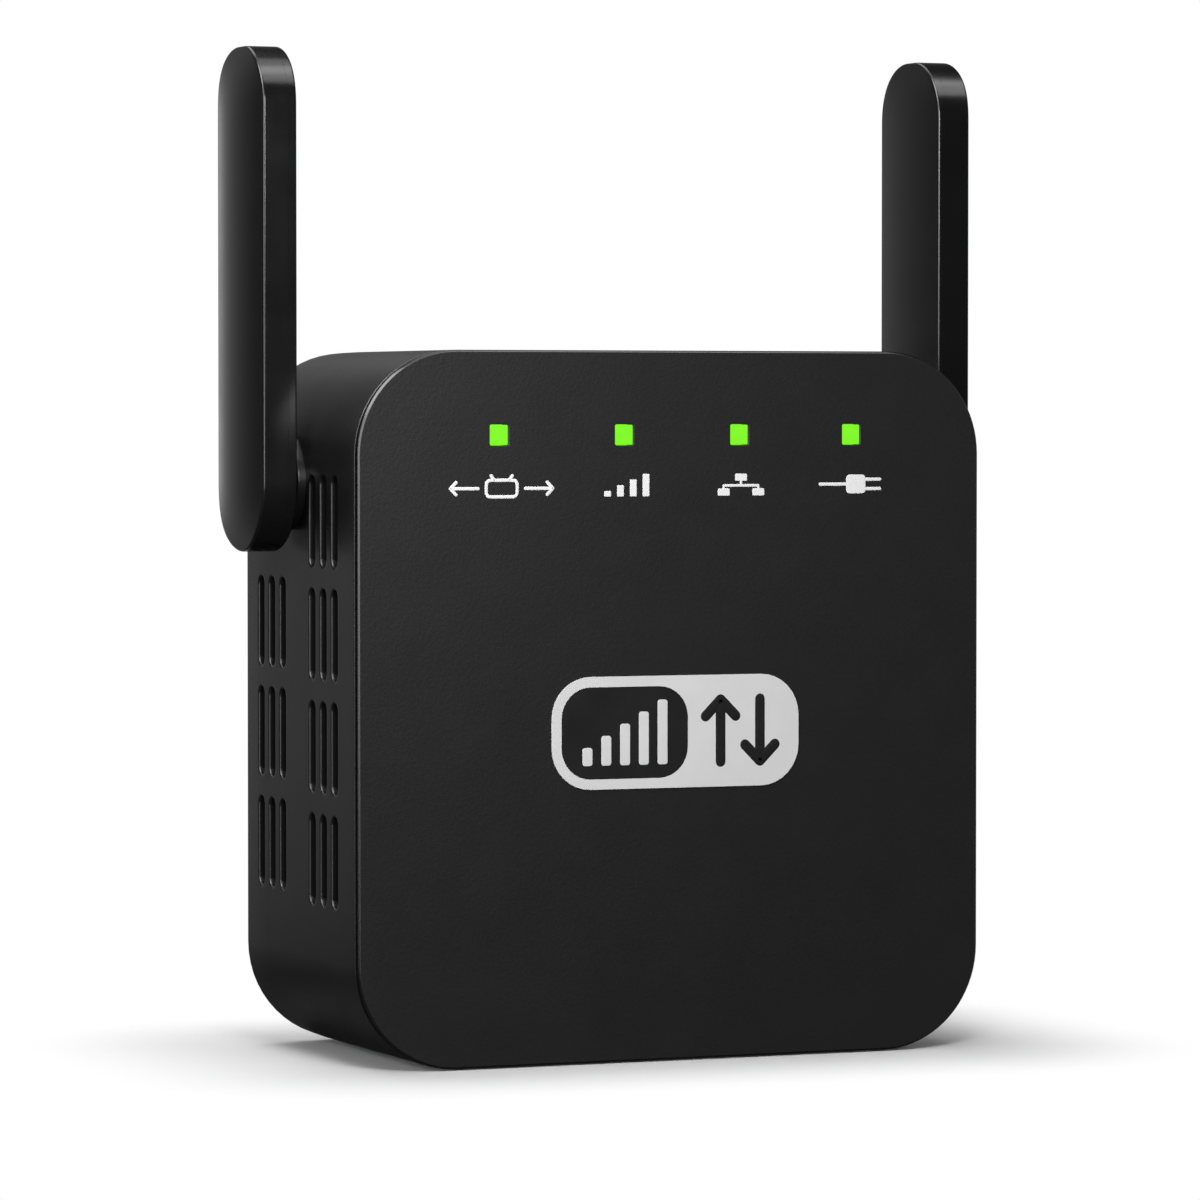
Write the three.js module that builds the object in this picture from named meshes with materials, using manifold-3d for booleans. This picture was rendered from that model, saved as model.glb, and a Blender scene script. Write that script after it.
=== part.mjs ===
// Wall-plug wireless range extender with two folding paddle antennas.
// Millimetres, +Z up, +X to the right seen from the front, -Y towards the front.
// The origin is the centre of the housing's bottom face.

import * as THREE from 'three';
import { mergeVertices } from 'three/addons/utils/BufferGeometryUtils.js';
import Module from 'manifold-3d';

// ---------------------------------------------------------------- driving dimensions

// clearances
const seatGap = 0.1; // between flat faces that rest on each other
const fitGap = 0.3; // round anything that passes through or turns in something
const bond = 0.2; // how far a rib or boss sinks into the wall that carries it

// housing
const bodyWidth = 78;
const bodyHeight = 82;
const bodyDepth = 38.5;
const cornerRadius = 12;
const wall = 2;
const backEdgeRadius = 0.8;
const innerEdgeRadius = 0.8;

// front cover
const plateThickness = 1.8;
const plateEdgeRadius = 0.45;
const shadowGap = 0.5; // open line between the cover and the housing
const lipThickness = 1.2;
const lipLength = 4.5;
const lipClearance = 0.25;
const snapWidth = 8;
const snapLength = 1.6;
const snapReach = 0.6; // how far a snap barb enters the housing wall
const snapFromEnd = 0.6; // from the lip's free end
const snapTopX = 18;

// indicator row
const ledX = [-21.8, -6.3, 8.2, 22.5];
const ledBelowTop = 9.7;
const windowWidth = 2.3;
const windowHeight = 2.4;
const windowCorner = 0.2;
const guideThickness = 2;
const guideHeight = 3.4;
const guideOverhang = 2.6;
const guideRecess = 0.15;
const lensClearance = 0.1;
const cradleRib = 0.8;
const cradleReach = 1.8;
const ledWidth = 2;
const ledHeight = 1.3;
const ledThickness = 0.9;

// side ventilation slots
const slotWidth = 2;
const slotPitch = 3.7;
const slotsPerGroup = 3;
const groupSpace = 2.5;
const frontVent = { groups: 4, fromFront: 11.45, belowTop: 14.4, aboveBase: 18.1 };
const rearVent = { groups: 3, fromBack: 9.6, belowTop: 26.4, aboveBase: 19.1 };

// screws that close the housing
const closingScrewInset = 8.5; // from the side faces
const closingScrewZ = 10;
const columnRadius = 2.75;
const columnBehindBoard = 5.25;
const bossRadius = 3.7;
const bossShelf = 2;
const screwShankRadius = 1.1;
const screwHeadRadius = 2.2;
const screwHeadThickness = 1.8;
const closingScrewLength = 10;
const boardScrewLength = 5;
const driveWidth = 0.6;
const driveDepth = 0.8;

// main board
const boardThickness = 1.2;
const boardStandoff = 5; // from the cover plate to the board
const boardInset = 3.5; // from the housing's outline
const boardPostInset = 9.5;
const boardPostBelowTop = 27;
const postRadius = 2.3;

// network socket
const jackX = 11;
const jackWidth = 16;
const jackHeight = 13.3; // away from the board
const jackLength = 16.5;
const jackRecess = 0.4;
const jackMouth = { width: 11.9, height: 6.9, aboveBoard: 2.6, depth: 13 };
const jackLatch = { width: 6.3, height: 1.4, keyWidth: 3.5, keyHeight: 1.2 };
const contactCount = 8;
const contactPitch = 1.02;
const contactThickness = 0.35;

// keys on the bottom face
const keyAboveBoard = 5.5;
const pairX = -8; // pairing button
const pairCapWidth = 6.8;
const pairCapDepth = 3.8;
const pairCapRecess = 0.4;
const pairFlangeMargin = 1;
const pairFlangeThickness = 0.8;
const pairStem = 1.8;
const pairStemRadius = 1.3;
const pairTravel = 0.5;
const resetX = -18;
const pinholeRadius = 0.75;
const resetTravel = 0.25;

// antennas
const axisFromFront = 22.65;
const axisBelowTop = 15.3;
const paddleWidth = 16;
const paddleLength = 58.5;
const paddleEdge = 4.05; // thickness at the long edges
const paddleCrown = 0.8; // extra thickness along the middle of the outer face
const paddleInnerCrown = 0.25; // the same on the inner face
const paddleTopRadius = 6.9;
const paddleChamfer = 0.6;
const paddleWall = 1.4;
const paddleSkin = 0.6;
const lidThickness = 1;
const lidSeam = 0.05; // between the lid and the shell, all round
const lidPlateau = 0.5; // raised inside the shell's walls to centre the lid
const lidGap = 0.2;
const seatHeight = 1; // raised round seat on the housing's side
const seatRadius = 5.5;
const padRise = 0.3; // the flat pad inside stands this far clear of the rounded corner
const collarHeight = 0.65;
const trunnionRadius = 3.5;
const trunnionBore = 2;
const washerThickness = 0.5;
const clipThickness = 1;
const clipWidth = 2.1;
const grooveDepth = 0.7;
const trunnionTail = 1.2;
const coaxRadius = 0.55;
const coaxBend = 1.5;
const elementWidth = 8;
const elementLength = 38;
const elementThickness = 0.6;
const elementRib = 0.5;

// mains plug
const plugZ = 45;
const plugWidth = 35.5;
const plugHeight = 13.7;
const plugReach = 17; // behind the housing's back face
const plugCut = 4.2; // slanted ends
const plugEdgeRadius = 0.8;
const plugWall = 1.9;
const plugFlange = 2.2;
const plugFlangeThickness = 1.7;
const pinSpacing = 19;
const pinRadius = 2;
const pinLength = 19;
const sleeveLength = 10;
const sleeveRadius = 1.95;
const sleeveWall = 0.45;
const sleeveSunk = 1.3;
const pinBossRadius = 4;
const pinBossLength = 9.5;

// power board
const powerWidth = 50;
const powerHeight = 38;
const powerThickness = 1.6;
const powerStandoff = 5.65; // from the housing's back wall
const powerPostInset = 3;

// ---------------------------------------------------------------- planes that follow

const frontY = -bodyDepth / 2;
const backY = bodyDepth / 2;
const plateBackY = frontY + plateThickness;
const rimY = plateBackY + shadowGap;
const lipEndY = plateBackY + lipLength;
const innerBackY = backY - wall;
const boardFrontY = plateBackY + boardStandoff;
const boardBackY = boardFrontY + boardThickness;
const columnEndY = boardBackY + columnBehindBoard;
const bossStartY = columnEndY + fitGap;
const shelfY = bossStartY + bossShelf;
const closingScrewX = bodyWidth / 2 - closingScrewInset;
const boardPostX = bodyWidth / 2 - boardPostInset;
const boardPostZ = bodyHeight - boardPostBelowTop;
const shankBore = screwShankRadius + fitGap;
const ledZ = bodyHeight - ledBelowTop;
const guideFrontY = plateBackY + fitGap;
const guideBackY = guideFrontY + guideThickness;
const partsY = boardBackY + seatGap; // where parts on the main board's back start
const jackBottomZ = jackRecess;
const jackMouthY = partsY + jackMouth.aboveBoard;
const keyY = boardBackY + keyAboveBoard;
const axisY = frontY + axisFromFront;
const axisZ = bodyHeight - axisBelowTop;
const paddleInnerX = seatHeight + fitGap + collarHeight;
const paddleOuterX = paddleInnerX + paddleEdge + paddleCrown;
const lidFlangeX = paddleInnerX + lidThickness;
const lidTopX = lidFlangeX + lidPlateau;
const trunnionBoreInWall = trunnionRadius + fitGap * 0.7;
const cornerOverSeat = Math.max(0, axisZ + seatRadius - (bodyHeight - cornerRadius));
const innerCorner = cornerRadius - wall;
const padHeight = innerCorner - Math.sqrt(innerCorner ** 2 - cornerOverSeat ** 2) + padRise;
const washerX = -wall - padHeight - fitGap;
const clipX = washerX - washerThickness - fitGap;
const trunnionEndX = clipX - clipThickness - trunnionTail;
const leadEndX = trunnionEndX - fitGap;
const plugFaceY = backY + plugReach;
const flangeBackY = innerBackY - fitGap;
const flangeFrontY = flangeBackY - plugFlangeThickness;
const powerBackY = innerBackY - powerStandoff;
const powerFrontY = powerBackY - powerThickness;
const powerPartsY = powerFrontY - seatGap; // parts on the power board face the front
const pinTailY = powerBackY + 3.4;
const powerPostX = powerWidth / 2 - powerPostInset;
const powerPostRise = powerHeight / 2 - powerPostInset;

// ---------------------------------------------------------------- finishes

function finish(color, roughness, metalness = 0) {
  return new THREE.MeshStandardMaterial({ color, roughness, metalness });
}

const blackPlastic = finish(0x2c2c2d, 0.55);
const blackGlossPlastic = finish(0x2a2a2b, 0.42);
const clearPlastic = finish(0xbfe8a0, 0.15);
const whiteCeramic = finish(0xe8ecd8, 0.4);
const greenBoard = finish(0x1f5a36, 0.45);
const brownBoard = finish(0x8c7a4a, 0.6);
const chipEpoxy = finish(0x1b1b1c, 0.6);
const tinnedSteel = finish(0xb9bab6, 0.35, 1);
const nickel = finish(0xc8c6c0, 0.22, 1);
const spring = finish(0xc9a45a, 0.3, 1);
const zincScrew = finish(0x9a9ba0, 0.35, 1);
const ferrite = finish(0x3a3a3c, 0.7);
const yellowTape = finish(0xd9b32c, 0.5);
const capSleeve = finish(0x22304a, 0.4);
const blueEpoxy = finish(0x2a5fa8, 0.4);
const resistorGreen = finish(0x5f8f6a, 0.5);
const redWire = finish(0xa8201c, 0.5);
const blackWire = finish(0x151515, 0.5);
const greyCable = finish(0x3d3d40, 0.5);
const acetal = finish(0xdedcd2, 0.5);
const rubber = finish(0x303032, 0.8);

// ---------------------------------------------------------------- solids

const wasm = await Module();
wasm.setup();

/** Turns a closed geometry into a solid that can be joined and cut. */
function solid(geometry) {
  geometry.deleteAttribute('normal');
  geometry.deleteAttribute('uv');
  const merged = mergeVertices(geometry, 1e-4);
  const corners = merged.index.array;
  const kept = [];
  for (let i = 0; i < corners.length; i += 3) {
    const [a, b, c] = corners.slice(i, i + 3);
    if (a !== b && b !== c && c !== a) kept.push(a, b, c);
  }
  const vertProperties = new Float32Array(merged.attributes.position.array);
  const triVerts = new Uint32Array(kept);
  return new wasm.Manifold(new wasm.Mesh({ numProp: 3, vertProperties, triVerts }));
}

/** A named mesh from a solid. */
function piece(name, shape, material) {
  const { vertProperties, triVerts } = shape.getMesh();
  const geometry = new THREE.BufferGeometry();
  geometry.setAttribute('position', new THREE.BufferAttribute(vertProperties, 3));
  geometry.setIndex(new THREE.BufferAttribute(triVerts, 1));
  geometry.computeVertexNormals();
  const mesh = new THREE.Mesh(geometry, material);
  mesh.name = name;
  return mesh;
}

function joined(solids) {
  return solids.reduce((whole, next) => whole.add(next));
}

/** The two ends of a length centred on a coordinate. */
function around(centre, length) {
  return [centre - length / 2, centre + length / 2];
}

/** A box between three pairs of coordinates. */
function block([x0, x1], [y0, y1], [z0, z1]) {
  const geometry = new THREE.BoxGeometry(x1 - x0, y1 - y0, z1 - z0);
  geometry.translate((x0 + x1) / 2, (y0 + y1) / 2, (z0 + z1) / 2);
  return solid(geometry);
}

/** Turns a geometry that runs along Z, drawn in (u, v), so that it runs along the named axis. */
function aim(geometry, axis, from, to) {
  if (axis === 'z') return geometry.translate(0, 0, from);
  geometry.rotateX(Math.PI / 2);
  if (axis === 'y') return geometry.translate(0, to, 0);
  return geometry.rotateZ(Math.PI / 2).translate(from, 0, 0);
}

/**
 * A flat outline carried along an axis. Along x the outline is drawn in (y, z), along y in (x, z)
 * and along z in (x, y). A bevel rounds both ends inside the outline.
 */
function slab(shape, axis, [from, to], { bevel = 0, bevelSteps = 2, curve = 3 } = {}) {
  const geometry = new THREE.ExtrudeGeometry(shape, {
    depth: to - from - 2 * bevel,
    curveSegments: curve,
    bevelEnabled: bevel > 0,
    bevelThickness: bevel,
    bevelSize: bevel,
    bevelOffset: -bevel,
    bevelSegments: bevelSteps,
  });
  geometry.translate(0, 0, bevel);
  return solid(aim(geometry, axis, from, to));
}

/** A round bar along an axis, centred on the other two coordinates. */
function rod(axis, radius, [from, to], [a, b], sides = 12) {
  const geometry = new THREE.CylinderGeometry(radius, radius, to - from, sides);
  geometry.translate(0, (from + to) / 2, 0);
  if (axis === 'x') geometry.rotateZ(-Math.PI / 2).translate(0, a, b);
  if (axis === 'y') geometry.translate(a, 0, b);
  if (axis === 'z') geometry.rotateX(Math.PI / 2).translate(a, b, 0);
  return solid(geometry);
}

/** A profile of [radius, distance] points, closed on itself or on the axis, turned about an axis. */
function turned(profile, axis, [a, b], sides = 16) {
  const points = profile.map(([radius, along]) => new THREE.Vector2(radius, along));
  const geometry = new THREE.LatheGeometry(points, sides);
  if (axis === 'x') geometry.rotateZ(-Math.PI / 2).translate(0, a, b);
  if (axis === 'y') geometry.translate(a, 0, b);
  return solid(geometry);
}

/** A section carried along a smooth curve through points. */
function swept(section, points, steps) {
  const path = new THREE.CatmullRomCurve3(points.map((p) => new THREE.Vector3(...p)));
  return solid(new THREE.ExtrudeGeometry(section, { steps, extrudePath: path, curveSegments: 3 }));
}

// ---------------------------------------------------------------- outlines

function roundedRect(width, height, radius, [cx, cy] = [0, 0]) {
  const x = width / 2 - radius;
  const y = height / 2 - radius;
  const shape = new THREE.Shape();
  shape.moveTo(cx + x, cy - y - radius);
  shape.absarc(cx + x, cy - y, radius, -Math.PI / 2, 0);
  shape.absarc(cx + x, cy + y, radius, 0, Math.PI / 2);
  shape.absarc(cx - x, cy + y, radius, Math.PI / 2, Math.PI);
  shape.absarc(cx - x, cy - y, radius, Math.PI, 1.5 * Math.PI);
  shape.closePath();
  return shape;
}

function circle(radius) {
  return new THREE.Shape().absarc(0, 0, radius, 0, 2 * Math.PI);
}

function polygon(points) {
  return new THREE.Shape(points.map(([u, v]) => new THREE.Vector2(u, v)));
}

/** An upright slot with round ends, each drawn with a few straight steps. */
function slotOutline(width, length, [u, v], steps = 2) {
  const radius = width / 2;
  const points = [];
  for (const end of [1, -1]) {
    for (let i = 0; i <= steps; i += 1) {
      const angle = (Math.PI * i) / steps;
      const rise = length / 2 - radius + radius * Math.sin(angle);
      points.push([u + end * radius * Math.cos(angle), v + end * rise]);
    }
  }
  return polygon(points);
}

/** The housing's outline seen from the front, drawn in by an inset. */
function housingOutline(inset) {
  const size = [bodyWidth - 2 * inset, bodyHeight - 2 * inset];
  return roundedRect(...size, cornerRadius - inset, [0, bodyHeight / 2]);
}

/** The paddle seen from its flat side: round about the pivot below, rounded corners above. */
function paddleOutline(inset) {
  const half = paddleWidth / 2 - inset;
  const top = paddleLength - paddleWidth / 2 - inset;
  const corner = paddleTopRadius - inset;
  const shape = new THREE.Shape();
  shape.moveTo(-half, 0);
  shape.absarc(0, 0, half, Math.PI, 2 * Math.PI);
  shape.absarc(half - corner, top - corner, corner, 0, Math.PI / 2);
  shape.absarc(corner - half, top - corner, corner, Math.PI / 2, Math.PI);
  shape.closePath();
  return shape;
}

/** The plug block's outline seen from behind: a flat bar with slanted ends. */
function plugOutline(inset) {
  const x = plugWidth / 2 - inset;
  const z = plugHeight / 2 - inset;
  const cut = plugCut - inset * (2 - Math.SQRT2);
  const right = [[x - cut, -z], [x, cut - z], [x, z - cut], [x - cut, z]];
  const corners = [...right, ...right.map(([u, v]) => [-u, -v])];
  return polygon(corners.map(([u, v]) => [u, v + plugZ]));
}

// ---------------------------------------------------------------- housing

const sides = { left: -1, right: 1 };

/** Both closing screw positions, and the same for the main board's own screws. */
const closingScrews = Object.values(sides).map((side) => [side * closingScrewX, closingScrewZ]);
const boardScrews = Object.values(sides).map((side) => [side * boardPostX, boardPostZ]);
const powerPosts = [[-1, -1], [-1, 1], [1, -1], [1, 1]]
  .map(([u, v]) => [u * powerPostX, plugZ + v * powerPostRise]);
const powerScrews = [powerPosts[0], powerPosts[3]];

function ledWindow(x, shrink = 0) {
  const size = [windowWidth - 2 * shrink, windowHeight - 2 * shrink];
  return roundedRect(...size, windowCorner, [x, ledZ]);
}

const guideSpan = [Math.min(...ledX) - guideOverhang, Math.max(...ledX) + guideOverhang];

/** A snap barb's section as [y, height above the lip]: a square catch, then a ramp. */
function barbSection() {
  const end = lipEndY - snapFromEnd;
  const start = end - snapLength;
  const reach = lipClearance + snapReach;
  return [[start, -bond], [start, reach], [start + snapLength / 3, reach], [end, -bond]];
}

/** The section of the pocket in the housing's wall that takes a barb. */
function pocketSection() {
  const end = lipEndY - snapFromEnd + fitGap;
  const start = end - snapLength - 2 * fitGap;
  const reach = lipClearance + snapReach + fitGap;
  return [[start, 0], [start, reach], [end, reach], [end, 0]];
}

/** A section carried along each of the four places where the cover snaps into the housing. */
function atSnaps(section, length) {
  const lipTop = bodyHeight - wall - lipClearance;
  const lipSide = bodyWidth / 2 - wall - lipClearance;
  const onTop = polygon(section.map(([y, out]) => [y, lipTop + out]));
  const onSide = (side) => polygon(section.map(([y, out]) => [side * (lipSide + out), y]));
  return Object.values(sides).flatMap((side) => [
    slab(onTop, 'x', around(side * snapTopX, length)),
    slab(onSide(side), 'z', around(bodyHeight / 2, length)),
  ]);
}

function frontCover() {
  const plate = slab(housingOutline(0), 'y', [frontY, plateBackY + plateEdgeRadius],
    { bevel: plateEdgeRadius });
  const everything = [-bodyWidth, bodyWidth];
  const behind = block(everything, [plateBackY, backY], [-bodyHeight, 2 * bodyHeight]);
  const lipOuter = housingOutline(wall + lipClearance);
  const lipInner = housingOutline(wall + lipClearance + lipThickness);
  const lip = slab(lipOuter, 'y', [plateBackY - bond, lipEndY])
    .subtract(slab(lipInner, 'y', [plateBackY - 2 * bond, lipEndY + 1]));
  const columns = closingScrews.map((at) => rod('y', columnRadius, [plateBackY - bond, columnEndY], at));
  const posts = boardScrews.map((at) =>
    rod('y', postRadius, [plateBackY - bond, boardFrontY - seatGap], at));
  const ribs = [-1, 1].map((side) => {
    const near = ledZ + side * (guideHeight / 2 + fitGap);
    const zs = [near, near + side * cradleRib].sort((a, b) => a - b);
    return block(guideSpan, [plateBackY - bond, plateBackY + cradleReach], zs);
  });
  const windows = ledX.map((x) => slab(ledWindow(x), 'y', [frontY - 1, plateBackY + 1], { curve: 1 }));
  const pilots = [
    ...closingScrews.map((at) =>
      rod('y', shankBore, [shelfY - closingScrewLength - 1, columnEndY + 1], at, 12)),
    ...boardScrews.map((at) => rod('y', shankBore, [plateBackY, boardFrontY], at, 12)),
  ];
  return joined([plate.subtract(behind), lip, ...columns, ...posts, ...ribs,
    ...atSnaps(barbSection(), snapWidth)])
    .subtract(joined([...windows, ...pilots]));
}

/** Cutters for one column of slot groups, through both side walls at once. */
function ventSlots(vent, columnY) {
  const span = bodyHeight - vent.belowTop - vent.aboveBase;
  const slotLength = (span - (vent.groups - 1) * groupSpace) / vent.groups;
  const slots = [];
  for (let group = 0; group < vent.groups; group += 1) {
    const z = vent.aboveBase + slotLength / 2 + group * (slotLength + groupSpace);
    for (let i = 0; i < slotsPerGroup; i += 1) {
      const y = columnY + (i - (slotsPerGroup - 1) / 2) * slotPitch;
      slots.push(slab(slotOutline(slotWidth, slotLength, [y, z]), 'x', [-bodyWidth, bodyWidth]));
    }
  }
  return slots;
}

function rearHousing() {
  const outer = slab(housingOutline(0), 'y', [rimY - backEdgeRadius, backY],
    { bevel: backEdgeRadius });
  const everything = [-bodyWidth, bodyWidth];
  const ahead = block(everything, [frontY - bodyDepth, rimY], [-bodyHeight, 2 * bodyHeight]);
  const inner = slab(housingOutline(wall), 'y', [rimY - 2 * innerEdgeRadius, innerBackY],
    { bevel: innerEdgeRadius, bevelSteps: 1 });
  const vents = [
    ...ventSlots(frontVent, frontY + frontVent.fromFront),
    ...ventSlots(rearVent, backY - rearVent.fromBack),
  ];
  const jackHalf = jackWidth / 2 + fitGap;
  const jackYs = [partsY - fitGap, partsY + jackHeight + fitGap];
  const bottom = [-1, wall + 1];
  const plugOpening = slab(plugOutline(-fitGap), 'y', [innerBackY - 1, backY + 1]);
  const openings = [
    block([jackX - jackHalf, jackX + jackHalf], jackYs, bottom),
    slab(pairCapOutline(fitGap), 'z', bottom),
    rod('z', pinholeRadius, bottom, [resetX, keyY], 12),
    plugOpening,
    ...atSnaps(pocketSection(), snapWidth + 2 * fitGap),
  ];
  const seats = Object.values(sides).map((side) => {
    const xs = [bodyWidth / 2 - wall - padHeight, bodyWidth / 2 + seatHeight].map((x) => side * x);
    return rod('x', seatRadius, xs.sort((a, b) => a - b), [axisY, axisZ], 20);
  });
  const bosses = closingScrews.map((at) => rod('y', bossRadius, [bossStartY, innerBackY + bond], at));
  const posts = powerPosts.map((at) =>
    rod('y', postRadius, [powerBackY + seatGap, innerBackY + bond], at, 12));
  const bores = [
    rod('x', trunnionBoreInWall, [-bodyWidth, bodyWidth], [axisY, axisZ], 24),
    ...closingScrews.map((at) => rod('y', screwHeadRadius + fitGap, [shelfY, backY + 1], at)),
    ...closingScrews.map((at) => rod('y', shankBore, [bossStartY - 1, shelfY + 1], at, 12)),
    ...powerScrews.map((at) => rod('y', shankBore, [powerBackY, innerBackY - bond], at, 12)),
  ];
  return outer.subtract(joined([ahead, inner, ...vents, ...openings]))
    .add(joined([...seats, ...bosses, ...posts]))
    .subtract(joined(bores));
}

// ---------------------------------------------------------------- fasteners

/** A pan-head screw along Y with its head towards the back; seat is the plane under its head. */
function screw(seat, length, [x, z]) {
  const r = screwHeadRadius;
  const t = screwHeadThickness;
  const profile = [
    [0, -length], [screwShankRadius * 0.5, -length], [screwShankRadius, -length + screwShankRadius],
    [screwShankRadius, 0], [r, 0], [r, t * 0.5], [r * 0.6, t], [0, t],
  ];
  const body = turned(profile.map(([radius, along]) => [radius, seat + along]), 'y', [x, z], 8);
  const depth = [seat + t - driveDepth, seat + t + 1];
  const wide = r * 0.6;
  const thin = driveWidth / 2;
  return body
    .subtract(block([x - wide, x + wide], depth, [z - thin, z + thin]))
    .subtract(block([x - thin, x + thin], depth, [z - wide, z + wide]));
}

/** The same screw with its head towards the front. */
function frontScrew(seat, length, [x, z]) {
  return screw(-seat, length, [-x, z]).rotate([0, 0, 180]);
}

// ---------------------------------------------------------------- indicators and main board

function lightGuide() {
  const bar = block(guideSpan, [guideFrontY, guideBackY], around(ledZ, guideHeight));
  const lenses = ledX.map((x) =>
    slab(ledWindow(x, lensClearance), 'y', [frontY + guideRecess, guideFrontY + bond], { curve: 1 }));
  const collectorEnd = boardFrontY - seatGap - ledThickness - fitGap;
  const collectors = ledX.map((x) =>
    block(around(x, ledWidth), [guideBackY - bond, collectorEnd], around(ledZ, ledHeight)));
  return joined([bar, ...lenses, ...collectors]);
}

function led(x) {
  const back = boardFrontY - seatGap;
  const base = back - ledThickness / 2;
  const lens = circle(ledHeight * 0.42);
  const geometry = new THREE.ExtrudeGeometry(lens, {
    depth: ledThickness / 2 + bond / 2, bevelEnabled: false, curveSegments: 3,
  });
  geometry.rotateX(Math.PI / 2).translate(x, base + bond / 2, ledZ);
  return block(around(x, ledWidth), [base, back], around(ledZ, ledHeight)).add(solid(geometry));
}

function mainBoard() {
  const board = slab(housingOutline(boardInset), 'y', [boardFrontY, boardBackY]);
  const through = [boardFrontY - 1, boardBackY + 1];
  const holes = [
    ...closingScrews.map((at) => rod('y', columnRadius + fitGap, through, at)),
    ...boardScrews.map((at) => rod('y', shankBore, through, at, 12)),
  ];
  return board.subtract(joined(holes));
}

const chipCorner = 0.3;
const chipEdge = 0.15;
const chipLift = 0.12;

/** A chip with rows of bent leads on its two long sides, flat on a board at y, facing +Y. */
function leadedChip([width, height, thickness], leads, leadWidth, [x, y, z]) {
  const outline = roundedRect(width, height, chipCorner, [x, z]);
  const body = slab(outline, 'y', [y + chipLift, y + thickness],
    { bevel: chipEdge, bevelSteps: 1, curve: 1 });
  const pitch = height / leads;
  const waist = thickness * 0.55;
  const root = width / 2 - bond;
  const knee = width / 2 + 0.3;
  const toe = width / 2 + thickness * 0.6;
  const lead = [
    [root, waist - 0.1], [knee - 0.15, waist - 0.1], [knee + 0.1, 0], [toe, 0], [toe, 0.2],
    [knee + 0.3, 0.2], [knee, waist + 0.1], [root, waist + 0.1],
  ];
  const rows = [];
  for (let i = 0; i < leads; i += 1) {
    const centre = z + (i - (leads - 1) / 2) * pitch;
    const span = [centre - leadWidth / 2, centre + leadWidth / 2];
    for (const side of Object.values(sides)) {
      rows.push(slab(polygon(lead.map(([u, v]) => [x + side * u, y + v])), 'z', span));
    }
  }
  return joined([body, ...rows]);
}

const processorSize = 13;
const processorAt = [-9, bodyHeight / 2 - 4];

function processor() {
  const outline = roundedRect(processorSize, processorSize, 0.4, processorAt);
  const body = slab(outline, 'y', [partsY, partsY + 0.9], { curve: 1 });
  const cap = roundedRect(processorSize * 0.72, processorSize * 0.72, 0.8, processorAt);
  const lid = slab(cap, 'y', [partsY + 0.5, partsY + 1.3], { bevel: 0.25, bevelSteps: 1, curve: 1 });
  return body.add(lid);
}

const shieldSize = [24, 14];
const shieldBelowTop = 21;
const shieldHeight = 2.5;
const shieldSheet = 0.3;

/** A thin drawn-metal can with two rows of round holes, open towards the board. */
function rfShield() {
  const centre = [-1, bodyHeight - shieldBelowTop];
  const [width, height] = shieldSize;
  const outer = slab(roundedRect(width, height, 1, centre), 'y', [partsY, partsY + shieldHeight],
    { curve: 1 });
  const hollow = roundedRect(width - 2 * shieldSheet, height - 2 * shieldSheet, 1 - shieldSheet, centre);
  const holes = [];
  for (let column = -1; column <= 1; column += 1) {
    for (const row of [-1, 1]) {
      const at = [centre[0] + column * width / 4, centre[1] + row * height / 5];
      holes.push(rod('y', 0.8, [partsY + 1, partsY + shieldHeight + 1], at, 8));
    }
  }
  return outer
    .subtract(slab(hollow, 'y', [partsY - 1, partsY + shieldHeight - shieldSheet], { curve: 1 }))
    .subtract(joined(holes));
}

/** The network socket: a moulded block with the stepped mouth of an eight-way jack below. */
function jackBody() {
  const body = block(around(jackX, jackWidth), [partsY, partsY + jackHeight],
    [jackBottomZ, jackBottomZ + jackLength]);
  const mouthTop = jackMouthY + jackMouth.height;
  const latchTop = mouthTop + jackLatch.height;
  const below = jackBottomZ - 1;
  const deep = jackBottomZ + jackMouth.depth;
  const steps = [
    [jackMouth.width, jackMouthY, mouthTop],
    [jackLatch.width, mouthTop - bond, latchTop],
    [jackLatch.keyWidth, latchTop - bond, latchTop + jackLatch.keyHeight],
  ];
  const cuts = steps.map(([width, y0, y1]) => block(around(jackX, width), [y0, y1], [below, deep]));
  return body.subtract(joined(cuts));
}

/** Eight slanted contact springs on the moulded strip that holds them. */
function jackContacts() {
  const y = jackMouthY + seatGap;
  const stripWidth = contactPitch * contactCount + 1;
  const stripZ = jackBottomZ + 2.6;
  const strip = block(around(jackX, stripWidth), [y, y + 0.8], [stripZ, stripZ + 1.4]);
  const z = jackBottomZ + 3.6;
  const free = jackBottomZ + jackMouth.depth - 2;
  const t = contactThickness;
  const wires = [];
  for (let i = 0; i < contactCount; i += 1) {
    const x = jackX + (i - (contactCount - 1) / 2) * contactPitch;
    const profile = polygon([
      [y + 0.25, z], [y + 0.25 + t, z], [y + 1.9, free - 0.8], [y + 1.9 - t * 0.6, free],
      [y + 1.9 - 1.6 * t, free], [y + 1.9 - t, free - 0.8],
    ]);
    wires.push(slab(profile, 'x', [x - t / 2, x + t / 2]));
  }
  return joined([strip, ...wires]);
}

// ---------------------------------------------------------------- keys

function pairCapOutline(grow) {
  const radius = pairCapDepth / 2 + grow - 0.4;
  return roundedRect(pairCapWidth + 2 * grow, pairCapDepth + 2 * grow, radius, [pairX, keyY]);
}

const pairFlangeZ = wall + fitGap;
const pairStemTop = pairFlangeZ + pairFlangeThickness + pairStem;
const pairSwitch = {
  width: 6, length: 3.8, plungerRadius: 1.1, shows: 1.2, enters: 2, travel: pairTravel,
};
const resetSwitch = {
  width: 4.4, length: 3, plungerRadius: 0.7, shows: 1.1, enters: 1.4, travel: resetTravel,
};
const resetTipZ = wall + 0.9;

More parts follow.
